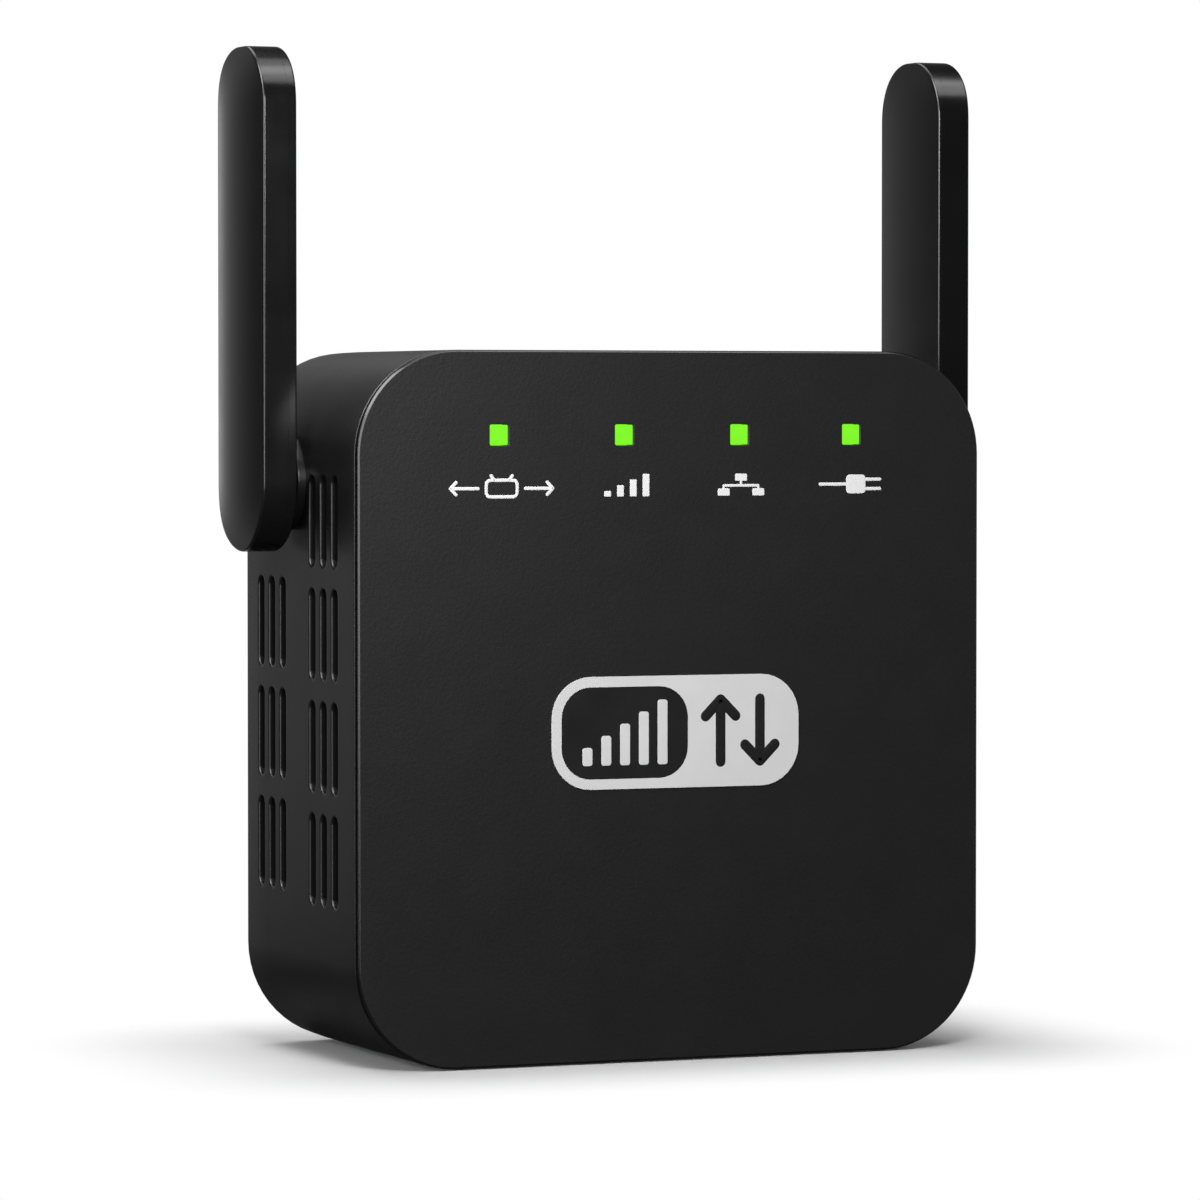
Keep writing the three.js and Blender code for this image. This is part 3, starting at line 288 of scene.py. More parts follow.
def pierced(us, vs, face, way, wall, holes, rings):
    """A flat wall over grid lines in (x, z), from y = face to face + way wall, joined to a ring of
    points round each of its faces. A hole is its centre, the reach of its cell, its outline, the
    rounding of its edge and any steps deeper in."""
    def place(uv, depth):
        return along_y(uv, face + way * depth)

    grid = flat_grid(us, vs)
    cells, patches = [], []
    for (u, v), (a, b), hole, lip, *deeper in holes:
        cells.append(cell_at(us, vs, (u - a, u + a), (v - b, v + b)))
        patches.append(through(part_of(grid, cells[-1]), hole, place, wall, lip, *deeper))
    keep = cut_grid(grid.shape, cells)
    for ring, depth in zip(rings, (0, wall)):
        patches.append(patch(place(grid, depth), keep=keep))
        patches.append(patch(np.stack([ring, place(rim(grid), depth)]), True))
    return patches


def closed_face(edge, across, place, height):
    """A face inside a symmetric loop that starts at its lowest point: each row runs straight from
    the left side to the right one, and height gives its distance from (u, v)."""
    up = (len(edge) - across) // 2
    right = edge[:up + 1]
    left = edge[-np.arange(up + 1) % len(edge)]
    share = np.linspace(0, 1, across + 1)[None, :, None]
    rows = left[:, None] + (right - left)[:, None] * share
    return patch(place(rows, height(rows)))


def stroke(points, width, rise, base=0.0, sides=10):
    """A flat inked line on the front: an ellipse carried along points (x, z) at a base height, its
    half width closing as a semicircle beyond both ends."""
    run = np.gradient(points, axis=0)
    run /= np.linalg.norm(run, axis=1)[:, None]
    cap = np.cos(np.linspace(0, np.pi / 2, 4, endpoint=False))
    beyond = np.concatenate([-cap, 0 * points[:, 0], cap[::-1]])[:, None]
    swell = np.sqrt(1 - beyond ** 2)
    path, run = (np.pad(each, ((len(cap),) * 2, (0, 0)), "edge") for each in (points, run))
    turn = np.linspace(0, 2 * np.pi, sides, endpoint=False)
    across = np.stack([-run[:, 1], run[:, 0]], -1)[:, None]
    uv = (path + width * beyond * run)[:, None] + width * across * (swell * np.cos(turn))[..., None]
    return patch(along_y(uv, FRONT_Y - base - rise * swell * np.sin(turn)), wraps=True)


# ======== finishes

def linear(code):
    """Linear RGBA of an sRGB hex colour."""
    channels = np.array([int(code[i:i + 2], 16) for i in (1, 3, 5)]) / 255
    curve = np.where(channels <= 0.04045, channels / 12.92, ((channels + 0.055) / 1.055) ** 2.4)
    return (*curve, 1.0)


def add(tree, kind, inputs=None, **settings):
    """One shader node with its settings; each input takes a value, or a link from an output."""
    made = tree.nodes.new("ShaderNode" + kind)
    for key, value in settings.items():
        setattr(made, key, value)
    for key, value in (inputs or {}).items():
        if isinstance(value, bpy.types.NodeSocket):
            tree.links.new(value, made.inputs[key])
        else:
            made.inputs[key].default_value = value
    return made.outputs


def maths(tree, operation, *values, kind="Math", out=0):
    """The result of a Math or VectorMath node."""
    return add(tree, kind, dict(enumerate(values)), operation=operation)[out]


MIX_SOCKETS = {"FLOAT": (2, 3, 0), "RGBA": (6, 7, 2)}  # the Mix node's two inputs and its output


def mix(tree, share, first, second, kind="FLOAT"):
    """A blend of two numbers, or of two colours."""
    a, b, out = MIX_SOCKETS[kind]
    return add(tree, "Mix", {0: share, a: first, b: second}, data_type=kind)[out]


def principled(tree, inputs):
    """Ends a material in a principled surface."""
    add(tree, "OutputMaterial", {"Surface": add(tree, "BsdfPrincipled", inputs)[0]})


def blank(name, kind=bpy.data.materials):
    """A material or a world without nodes, and its node tree."""
    made = kind.new(name)
    made.use_nodes = True
    made.node_tree.nodes.clear()
    return made, made.node_tree


def coat(material, *names):
    """Gives a finish to pieces that keep their CAD shape."""
    for name in names:
        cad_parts[name].data.materials.clear()
        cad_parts[name].data.materials.append(material)


def both(*names):
    """The left and the right one of each."""
    return [f"{side}_{name}" for name in names for side in ("left", "right")]


POLISHED_ROUGHNESS = 0.2


def surfaced(name, colours, grain, relief, roughness, mottle=6.0, vary=0.05, stretch=(1, 1, 1),
             polished=None, **scalars):
    """A finish of two close colours in soft mottle under a fine grain; sizes in millimetres.

    The grain sets the bump and a little of the roughness, the mottle the colour and the rest.
    Behind the depth polished, if there is one, the surface is smooth.
    """
    material, tree = blank(name)
    place = add(tree, "TexCoord")["Object"]
    turned = add(tree, "Mapping", {"Vector": place, "Scale": stretch})["Vector"]
    fine, soft = (add(tree, "TexNoise", {"Vector": turned, "Scale": 1 / (size * MM),
                                         "Detail": detail, "Roughness": falloff})["Fac"]
                  for size, detail, falloff in ((grain, 2.0, 0.6), (mottle, 3.0, 0.5)))
    tint = mix(tree, soft, linear(colours[0]), linear(colours[1]), "RGBA")
    rough = add(tree, "MapRange", {
        "Value": maths(tree, "ADD", fine, soft), "From Min": 0.6, "From Max": 1.4,
        "To Min": roughness - vary, "To Max": roughness + vary})[0]
    if polished is not None:
        depth = add(tree, "SeparateXYZ", {0: place})["Y"]
        edge = add(tree, "MapRange", {
            "Value": depth, "From Min": polished * MM, "From Max": (polished + 0.05) * MM})[0]
        rough = mix(tree, edge, rough, POLISHED_ROUGHNESS)
        fine = mix(tree, edge, fine, 0.5)
    bump = add(tree, "Bump", {"Height": fine, "Distance": relief * MM})[0]
    principled(tree, {"Base Color": tint, "Roughness": rough, "Normal": bump, **scalars})
    return material


# Moulded ABS from a spark-eroded tool: an even grain that breaks the light into a soft sheen. The
# real grain is too fine to show, so it is drawn a few times coarser.
cover_abs = surfaced("moulded ABS, spark-eroded grain", ("#121213", "#141415"), 0.36, 0.022, 0.48,
                     vary=0.02, polished=FRONT_Y, IOR=1.5)
# The same ABS from a stoned, finer tool: smoother, so edges and corners carry longer soft lights.
housing_abs = surfaced("moulded ABS, stoned tool", ("#111112", "#151516"), 0.22, 0.006, 0.34,
                       IOR=1.5)
# PC-ABS paddles from a polished tool: satin, a little glossier than the housing.
antenna_abs = surfaced("moulded PC-ABS, satin", ("#111112", "#151516"), 0.2, 0.002, 0.22, IOR=1.5)
key_plastic = surfaced("moulded polypropylene", ("#18181a", "#1d1d1f"), 0.18, 0.003, 0.36, IOR=1.49)
# Flame-retardant polycarbonate plug block: dense black with a fine matt grain.
plug_plastic = surfaced("moulded polycarbonate", ("#19191a", "#1f1f20"), 0.28, 0.008, 0.5, IOR=1.55)
# Nylon pin sleeves: moulded round the pins, slightly waxy.
sleeve_nylon = surfaced("moulded nylon sleeve", ("#121213", "#171718"), 0.2, 0.003, 0.34, IOR=1.53)
# Glass-filled nylon socket and switch bodies: faint fibre streaks across a dull black.
coat(surfaced("moulded glass-filled nylon", ("#161617", "#202022"), 0.16, 0.006, 0.42, mottle=1.2,
              stretch=(1, 1, 0.2), IOR=1.54), "jack_body", "pair_switch_body", "reset_switch_body")
coat(surfaced("moulded acetal", ("#d6d4ca", "#e2e0d8"), 0.2, 0.002, 0.32, IOR=1.48),
     "pair_switch_plunger", "reset_switch_plunger")
coat(surfaced("moulded LED package", ("#dfe2d2", "#eceede"), 0.1, 0.001, 0.35, IOR=1.5),
     "led_1", "led_2", "led_3", "led_4")
# Epoxy chip bodies: transfer-moulded, dull with a sugar-fine grain.
coat(surfaced("transfer-moulded epoxy", ("#19191a", "#202021"), 0.09, 0.004, 0.55, mottle=1.5,
              IOR=1.55), "processor", "memory_chip", "network_transformer", "bridge_rectifier")
# Brown phenolic laminate: paper layers show as a soft fibrous mottle.
coat(surfaced("pressed phenolic laminate", ("#7d6b3e", "#937f4e"), 0.3, 0.004, 0.5, mottle=1.5,
              stretch=(0.3, 1, 1), IOR=1.55), "power_board")
# Dipped coats and sleeves: wet-looking resin with slow thickness changes.
coat(surfaced("dipped blue epoxy", ("#24599a", "#2f68b0"), 0.6, 0.01, 0.22, IOR=1.55),
     "disc_capacitor")
coat(surfaced("dipped resistor coat", ("#557f60", "#669873"), 0.4, 0.01, 0.4, IOR=1.5),
     "fuse_resistor")
coat(surfaced("shrunk PVC sleeve", ("#1e2c45", "#27385a"), 0.8, 0.008, 0.28, IOR=1.53),
     "input_capacitor", "output_capacitor")
coat(surfaced("wound polyester tape", ("#d2ab24", "#e0bb3a"), 0.5, 0.01, 0.38, mottle=2,
              stretch=(1, 1, 0.25), IOR=1.6), "transformer_bobbin")
# Sintered ferrite: matt charcoal with a granular ground face.
coat(surfaced("ground ferrite", ("#343436", "#414144"), 0.15, 0.01, 0.6, mottle=0.8, IOR=2.0),
     "transformer_core")
coat(surfaced("extruded red PVC", ("#9c1d19", "#ad2822"), 0.3, 0.003, 0.4, IOR=1.53),
     "dc_lead_positive")
coat(surfaced("extruded black PVC", ("#121212", "#191919"), 0.3, 0.003, 0.4, IOR=1.53),
     "dc_lead_negative")
coat(surfaced("extruded grey jacket", ("#37373a", "#434347"), 0.3, 0.003, 0.4, IOR=1.4),
     *both("coax", "antenna_lead"))
coat(surfaced("pressed filled rubber", ("#28282a", "#303033"), 0.15, 0.01, 0.7, IOR=1.52),
     *both("antenna_washer"))
# Metals keep the default IOR. Nickel plate: bright with faint turning marks round the pin.
nickel = surfaced("turned brass, nickel plated", ("#c3c0ba", "#cfccc6"), 0.12, 0.0006, 0.2,
                  mottle=3, stretch=(0.2, 1, 0.2), Metallic=1.0)
# Tin plate on cans and clips: dull drawn sheet.
coat(surfaced("drawn steel, tin plated", ("#b2b3af", "#c2c3bf"), 0.5, 0.002, 0.34, mottle=2,
              stretch=(1, 1, 0.3), Metallic=1.0), "rf_shield", *both("antenna_clip"))
# Thin gold over bronze contacts: warm, with the strip's rolling lines.
coat(surfaced("stamped spring bronze, gold flash", ("#bf9a4e", "#cfab62"), 0.3, 0.001, 0.28,
              stretch=(1, 1, 0.2), Metallic=1.0),
     "jack_contacts", *both("coax_connector", "mains_spring"))
# Zinc plate on headed screws: cold and faintly blue.
zinc = surfaced("headed steel, zinc plated", ("#93949a", "#a4a5ab"), 0.2, 0.003, 0.36, mottle=1,
                Metallic=1.0)
coat(zinc, *both("board_screw", "power_screw"))


def board_mask():
    """Solder mask on glass-epoxy: copper tracks stand under the green as lighter squared-off
    runs a third of a millimetre wide, on a pitch drawn a little coarse so that it shows."""
    material, tree = blank("glass-epoxy board, green solder mask")
    place = add(tree, "TexCoord")["Object"]
    cells = add(tree, "TexBrick", {
        "Vector": add(tree, "Mapping", {"Vector": place, "Rotation": (math.pi / 2, 0, 0)})[0],
        "Scale": 1.0, "Mortar Size": 0.00018, "Mortar Smooth": 0.1, "Brick Width": 0.0045,
        "Row Height": 0.0011})["Fac"]
    soft = add(tree, "TexNoise", {"Vector": place, "Scale": 250.0, "Detail": 2.0})["Fac"]
    ground = mix(tree, soft, linear("#174a2b"), linear("#1f5a36"), "RGBA")
    tint = mix(tree, cells, ground, linear("#2c7a4a"), "RGBA")
    bump = add(tree, "Bump", {"Height": cells, "Strength": 0.6, "Distance": 0.00003})[0]
    principled(tree, {"Base Color": tint, "Roughness": 0.3, "IOR": 1.52, "Normal": bump})
    return material


def lit_acrylic():
    """Clear moulded acrylic lit from behind: a green glow, a little paler in soft patches about a
    millimetre wide, under a polished face."""
    material, tree = blank("moulded acrylic light guide, lit green")
    place = add(tree, "TexCoord")["Object"]
    soft = add(tree, "TexNoise", {"Vector": place, "Scale": 900.0, "Detail": 1.0})["Fac"]
    glow = mix(tree, soft, linear("#78ea22"), linear("#84f42c"), "RGBA")
    principled(tree, {"Base Color": linear("#2c6a10"), "Roughness": 0.25, "IOR": 1.49,
                      "Emission Color": glow, "Emission Strength": 0.95})
    return material


coat(board_mask(), "main_board", *both("antenna_element"))
lit_green = lit_acrylic()
white_ink = surfaced("pad-printed white ink", ("#f0f0f0", "#fafafa"), 0.15, 0.002, 0.5, IOR=1.5)
# Printed label film with the look of aluminium: pale satin, and the same film overprinted black.
label_silver = surfaced("satin label film, silver grey", ("#dcdcdc", "#e6e6e6"), 0.25, 0.002, 0.38,
                        mottle=4, IOR=1.5)
label_black = surfaced("satin label film, printed black", ("#151516", "#1b1b1c"), 0.25, 0.002,
                       0.42, IOR=1.5)


# ======== pieces

def placed(name, data):
    """A new object in the scene."""
    made = bpy.data.objects.new(name, data)
    bpy.context.scene.collection.objects.link(made)
    return made


def make(name, patches, material, stands_for=(), body="root", sharp=38):
    """A piece from patches of millimetre points: shared points become one, faces turn outwards,
    and shading runs smooth up to edges sharper than the given angle."""
    starts = np.cumsum([0] + [len(points) for points, _ in patches])
    points = np.concatenate([points for points, _ in patches]) * MM
    quads = np.concatenate([quads + start for (_, quads), start in zip(patches, starts)])
    mesh = bpy.data.meshes.new(name)
    mesh.from_pydata(points.tolist(), [], quads.tolist())
    shape = bmesh.new()
    shape.from_mesh(mesh)
    bmesh.ops.remove_doubles(shape, verts=shape.verts, dist=WELD)
    bmesh.ops.dissolve_degenerate(shape, edges=shape.edges, dist=WELD)
    bmesh.ops.recalc_face_normals(shape, faces=shape.faces)
    shape.to_mesh(mesh)
    shape.free()
    mesh.shade_smooth()
    mesh.set_sharp_from_angle(angle=math.radians(sharp))
    mesh.materials.append(material)
    piece = placed(name, mesh)
    weighted = piece.modifiers.new("weighted", "WEIGHTED_NORMAL")
    weighted.keep_sharp = True
    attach(piece, body)
    if stands_for:
        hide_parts(*stands_for)


# ---- the housing's outline, seen from the front: x across and z up

body_rows = outline((270, 0, 90, 180), (0, HALF_WIDTH, HEIGHT, HALF_WIDTH), CORNER)
ARC = CORNER * math.pi / 2
FLAT_SIDE = HEIGHT - 2 * CORNER
FLAT_TOP = 2 * (HALF_WIDTH - CORNER)
RIGHT_START = ARC
TOP_START = RIGHT_START + FLAT_SIDE + ARC
LEFT_START = TOP_START + FLAT_TOP + ARC
BOTTOM_START = LEFT_START + FLAT_SIDE + ARC


def up_right(z):
    """Distance along the outline of a height on the right side."""
    return RIGHT_START + z - CORNER


def opposite(along):
    """The distance at the same height on the other side."""
    return RIGHT_START + FLAT_SIDE + LEFT_START - along


def across_bottom(x):
    """Distance along the outline of a place on the bottom."""
    return BOTTOM_START + x + FLAT_TOP / 2


# ---- housing: one grid of (y, distance along the outline) outside and in, holes as cells of it

ARC_STEPS = 14
SLOT_STEPS = (6, 7)  # across and along a slot's cell
jack_low, jack_high = span("jack_body")
key_low, key_high = span("pair_button")
KEY_X, KEY_Y = middle("pair_switch_plunger")[:2]
PINHOLE_X = middle("reset_switch_plunger")[0]
JACK_X, JACK_Y = (jack_low + jack_high)[:2] / 2
KEY_HALF = (3.4, 1.9)
PINHOLE = 0.75
# ends in x of the grid cells that the bottom's holes lie in, and the bores' lowest line in z
PINHOLE_CELL, KEY_CELL, JACK_CELL = (-20, -16), (-12.6, -3.4), (1.6, 20.4)
BORE_CELL_LOW = 61.4


def slot_breaks(column):
    """The y lines between a column's slots."""
    return column[0] + (np.arange(SLOTS_IN_GROUP + 1) - SLOTS_IN_GROUP / 2) * SLOT_PITCH


def slot_rows(column):
    """The z lines between a column's groups."""
    _, low, groups = column
    return low - SLOT_SPACE / 2 + np.arange(groups + 1) * (2 * SLOT_HALF[1] + SLOT_SPACE)


def side_lines(column):
    """Lines along the whole outline, with the side faces divided for one column's slots and, where
    it has fewer, for the front column's fourth group."""
    marks = slot_rows(column)
    if column is REAR_SLOTS:
        marks = np.append(marks, slot_rows(FRONT_SLOTS)[-1])
    marks = up_right(marks)
    up = [(marks[0], 1), *((mark, SLOT_STEPS[1]) for mark in marks[1:])]
    down = [(opposite(marks[-1]), 1), *((opposite(mark), SLOT_STEPS[1]) for mark in marks[-2::-1])]
    bottom = across_bottom(np.array([*PINHOLE_CELL, *KEY_CELL, *JACK_CELL, FLAT_TOP / 2]))
    return lines(
        0, (ARC, ARC_STEPS), *up, (RIGHT_START + FLAT_SIDE, 1), (TOP_START, ARC_STEPS),
        (TOP_START + FLAT_TOP, 34), (LEFT_START, ARC_STEPS), *down,
        (LEFT_START + FLAT_SIDE, 1), (BOTTOM_START, ARC_STEPS),
        *zip(bottom, (3, 6, 2, 8, 2, 10, 3)))[:-1]


front_breaks, rear_breaks = slot_breaks(FRONT_SLOTS), slot_breaks(REAR_SLOTS)
front_along, rear_along = side_lines(FRONT_SLOTS), side_lines(REAR_SLOTS)
deep = lines(RIM_Y + 0.8, (front_breaks[0], 2), *((y, SLOT_STEPS[0]) for y in front_breaks[1:]),
             (rear_breaks[0], 3), *((y, SLOT_STEPS[0]) for y in rear_breaks[1:]))


def skin_grid(ys):
    """Grid [y, along]: between the columns of slots its lines slide from one's to the other's."""
    share = np.clip((ys - front_breaks[-1]) / (rear_breaks[0] - front_breaks[-1]), 0, 1)[:, None]
    along = front_along * (1 - share) + rear_along * share
    return np.stack([np.broadcast_to(ys[:, None], along.shape), along], -1)


def on_skin(grid, depth):
    """Points of the housing's wall at (y, along) and a depth under its outside, which draws in
    with the square of the way along the last ROLL_LENGTH to the back."""
    rear = np.clip((grid[..., 0] - BACK_Y) / ROLL_LENGTH + 1, 0, 1) ** 2
    uv = loop(body_rows, grid[..., 1], depth + REAR_ROLL * rear)
    return along_y(uv, grid[..., 0])


def skin_holes():
    """Every hole in the housing's side and bottom walls as (cell, outline)."""
    found = []

    def hole(along, ys, ends, y, centre, half, radius):
        found.append((cell_at(deep, along, ys, ends), partial(opening, (y, centre), half, radius)))

    for column, breaks, along in ((FRONT_SLOTS, front_breaks, front_along),
                                  (REAR_SLOTS, rear_breaks, rear_along)):
        rows = up_right(slot_rows(column))
        for right in zip(rows[:-1], rows[1:]):
            for ys in zip(breaks[:-1], breaks[1:]):
                for ends in (right, [opposite(end) for end in right[::-1]]):
                    hole(along, ys, ends, sum(ys) / 2, sum(ends) / 2, SLOT_HALF, SLOT_HALF[0])
    low, high = up_right(BORE_CELL_LOW), RIGHT_START + FLAT_SIDE + 2 * ARC / ARC_STEPS
    for ends, centre in (((low, high), up_right(AXIS_Z)),
                         ((opposite(high), opposite(low)), opposite(up_right(AXIS_Z)))):
        hole(front_along, (front_breaks[-1], rear_breaks[1]), ends, AXIS_Y, centre,
             (BORE_HIDDEN,) * 2, BORE_HIDDEN)
    jack_half = (jack_high - jack_low)[1::-1] / 2 + GAP
    key_half = (KEY_HALF[1] + GAP, KEY_HALF[0] + GAP)
    key_breaks = (front_breaks[1], front_breaks[3])
    for xs, ys, (x, y), half, radius in (
            (JACK_CELL, (front_breaks[0], rear_breaks[0]), (JACK_X, JACK_Y), jack_half, 0.35),
            (KEY_CELL, key_breaks, (KEY_X, KEY_Y), key_half, 1.8),
            (PINHOLE_CELL, key_breaks, (PINHOLE_X, KEY_Y), (PINHOLE,) * 2, PINHOLE)):
        hole(front_along, ys, across_bottom(np.array(xs)), y, across_bottom(x), half, radius)
    return found


PLUG_Z = middle("plug_block")[2]
PLUG_FACE = span("plug_block")[1][1]
PLUG_HALF = (17.75, 6.85)
PLUG_CUT = 4.2
PLUG_ROUND = 0.7
slant = (sum(PLUG_HALF) - PLUG_CUT) / math.sqrt(2)
plug_rows = outline(range(0, 360, 45), [PLUG_HALF[0], slant, PLUG_HALF[1], slant] * 2, PLUG_ROUND)


def plug_loop(counts, inset):
    """The plug block's outline in step with rim() of a cell of (across, up) steps."""
    across, up = counts[0] - 6, counts[1] - 6
    runs = [2, 2, 2, across, 2, 2, 2, up] * 2
    start = sum(runs[:13]) + 1
    points = loop(plug_rows, spots(plug_rows, runs), inset)
    return np.roll(points, -start, 0) + [0, PLUG_Z]


screw_at = [middle(node) for node in both("housing_screw")]
SCREW_WELL = 2.5
SCREW_BORE, SCREW_BOSS = 1.4, 3.7
WELL_FLOOR = span("left_housing_screw")[1][1] - 1.9
BOSS_END = WELL_FLOOR - 2
# half sizes of the back's grid cells, and where they lie
SCREW_CELL, PLUG_CELL = (3.3, 3.1), (20.5, 8.5)
BACK_XS = (-33.8, (-27.2, 8), (-PLUG_CELL[0], 2), (PLUG_CELL[0], 28), (27.2, 2), (33.8, 8))
BACK_ZS = (6.9, (13.1, 8), (PLUG_Z - PLUG_CELL[1], 10), (PLUG_Z + PLUG_CELL[1], 12), (75.1, 14))


def housing_pieces():
    holes = skin_holes()
    keep = cut_grid((len(deep), len(front_along) + 1), [cell for cell, _ in holes])

    def skin(front, inset, back):
        """One side of the wall, through (inset, y) at its rim, along its depth and at the back."""
        rows = np.array([*front, *((inset, y) for y in deep), *back])
        mask = np.pad(keep, ((len(front), len(back)), (0, 0)), constant_values=True)
        points = on_skin(skin_grid(rows[:, 1]), rows[:, :1])
        return points, patch(points, True, mask)

    outside, outer = skin(rounding(0, RIM_FRONT, RIM_EDGE, steps=3), 0,
                          rounding(0, BACK_Y, BACK_EDGE, way=-1, steps=6)[::-1])
    inside, inner = skin([(WALL, RIM_FRONT)], WALL,
                         rounding(WALL, BACK_INSIDE, INNER_EDGE, way=-1, steps=3)[::-1])
    patches = [outer, inner, patch(np.stack([outside[0], inside[0]]), True)]
    grid = skin_grid(deep)
    patches += [through(part_of(grid, cell), hole, on_skin, WALL, LIP_EDGE)
                for cell, hole in holes]
    back_holes = [((0, PLUG_Z), PLUG_CELL,
                   lambda counts, grow: plug_loop(counts, -GAP - grow), LIP_EDGE)]
    for x, _, z in screw_at:
        well = partial(opening, (x, z), (SCREW_WELL,) * 2, SCREW_WELL)
        back_holes.append(((x, z), SCREW_CELL, well, LIP_EDGE))
        tube = [(SCREW_WELL, BACK_INSIDE), (SCREW_WELL, WELL_FLOOR), (SCREW_BORE, WELL_FLOOR),
                (SCREW_BORE, BOSS_END), (SCREW_BOSS, BOSS_END), (SCREW_BOSS, BACK_INSIDE)]
        patches.append(lathe(tube, (x, z), along_y, 32))
    turned = np.roll(np.arange(len(front_along)), -ARC_STEPS // 2)
    patches += pierced(lines(*BACK_XS), lines(*BACK_ZS), BACK_Y, -1, WALL, back_holes,
                       (outside[-1][turned], inside[-1][turned]))
    for side in (-1, 1):
        seat = [(BORE, SEAT_ROOT), (BORE, SEAT_X - 0.1), (BORE + 0.1, SEAT_X),
                *((SEAT_RADIUS - inset, x) for inset, x in rounding(0, SEAT_X, 0.2, -1, 4)),
                (SEAT_RADIUS, SEAT_ROOT)]
        patches.append(lathe([(r, side * x) for r, x in seat], (AXIS_Y, AXIS_Z), along_x, 64))
    return patches


make("housing_moulding", housing_pieces(), housing_abs, ["rear_housing"])

# ---- front cover: plate with a rounded edge, four windows, and the lip behind it

led_at = [middle(f"led_{k}") for k in (1, 2, 3, 4)]
LED_Z = led_at[0][2]
CELL = 2.0  # half the grid cell round a window
COVER_ARC = 20  # steps round a corner
PLATE_FLAT = PLATE_EDGE + 0.3  # inset of the ring round the flat front


def cover_pieces():
    windows = ((end, steps) for (x, _, _), before in zip(led_at, (3, 5, 5, 5))
               for end, steps in ((x - CELL, before), (x + CELL, 6)))
    xs = lines(-30, *windows, (30, 3))
    zs = lines(6, (LED_Z - CELL, 30), (LED_Z + CELL, 6), (76, 1))
    across, up = len(xs) - 1 - COVER_ARC, len(zs) - 1 - COVER_ARC
    along = spots(body_rows, [COVER_ARC, up, COVER_ARC, across] * 2)
    turned = np.roll(np.arange(len(along)), -COVER_ARC // 2)
    edge = [(PLATE_FLAT, FRONT_Y), *rounding(0, FRONT_Y, PLATE_EDGE, steps=6, bevel=0.85),
            (0, EDGE_BACK - 0.02), (0.02, EDGE_BACK), (LIP_OUTER, EDGE_BACK),
            (LIP_OUTER, LIP_END - 0.3), (LIP_OUTER + 0.3, LIP_END), (LIP_INNER, LIP_END),
            (LIP_INNER, PLATE_BACK)]
    holes = [((x, z), (CELL, CELL), partial(opening, (x, z), WINDOW_HALF, 0.2), 0.08)
             for x, _, z in led_at]
    rings = [along_y(loop(body_rows, along, inset), y)[turned]
             for inset, y in (edge[0], edge[-1])]
    return [carried(body_rows, along, edge, along_y),
            *pierced(xs, zs, FRONT_Y, 1, PLATE_BACK - FRONT_Y, holes, rings)]


make("cover_moulding", cover_pieces(), cover_abs, ["front_cover"])

# ---- light guide: four lenses in the windows on one bar, each with its collector

guide_low, guide_high = span("light_guide")
LENS_GAP = 0.06
COLLECTOR_HALF, COLLECTOR_LENGTH = (1, 0.65), 1.6
GUIDE_BAR = (0.3, 2.3)  # the bar's faces, from the back of the plate
lens_half = [half - LENS_GAP for half in WINDOW_HALF]
guide = []
for x, _, z in led_at:
    guide += tablet(box_outline(*lens_half, 0.15, (x, z)), [3, 3] * 4, PLATE_BACK + 0.5,
                    FRONT_Y + 0.12, 0.06, along_y)
    guide += tablet(box_outline(*COLLECTOR_HALF, 0.1, (x, z)), [2, 2] * 4,
                    guide_high[1] - COLLECTOR_LENGTH, guide_high[1], 0.05, along_y)
rows = outline((0, 90, 180, 270), (*guide_high[::2], *-guide_low[::2]), 0.2)
guide += tablet(rows, [2, 6] * 4, *(PLATE_BACK + y for y in GUIDE_BAR), 0.1, along_y)
make("light_guide_lenses", guide, lit_green, ["light_guide"])

# ---- pairing key: a rounded cap proud of its flange

KEY_FLANGE = (WALL + 0.3, WALL + 1.1)  # its faces in z
FLANGE_HALF = [half + 1 for half in KEY_HALF]
KEY_STEM, STEM_LOW = 1.3, WALL + 0.6
key = tablet(box_outline(*KEY_HALF, 1.5, (KEY_X, KEY_Y)), [8, 8, 8, 4] * 2, WALL + 0.5,
             key_low[2], 0.35, along_z)
key += tablet(box_outline(*FLANGE_HALF, 1.9, (KEY_X, KEY_Y)), [6, 4] * 4,
              *KEY_FLANGE[::-1], 0.1, along_z)
stem = [(0, STEM_LOW), (KEY_STEM, STEM_LOW), (KEY_STEM, key_high[2]), (0, key_high[2])]
key.append(lathe(stem, (KEY_X, KEY_Y), along_z, 24))
make("key_cap", key, key_plastic, ["pair_button"], "pair_key")

# ---- plug block: hollow moulding with a flange inside, its face pierced for the pins

pin_at = [middle(node) for node in both("plug_pin")]
PIN_BORE = 2.3
PIN_CELL = 4.5  # half the grid cell round a pin
PLUG_EDGE = 0.8
PLUG_WALL = 1.9
FLANGE = (BACK_INSIDE - GAP, BACK_INSIDE - GAP - 1.7)
FLANGE_REACH = 2.2
POCKET = 9.5  # depth of the bores round the pins


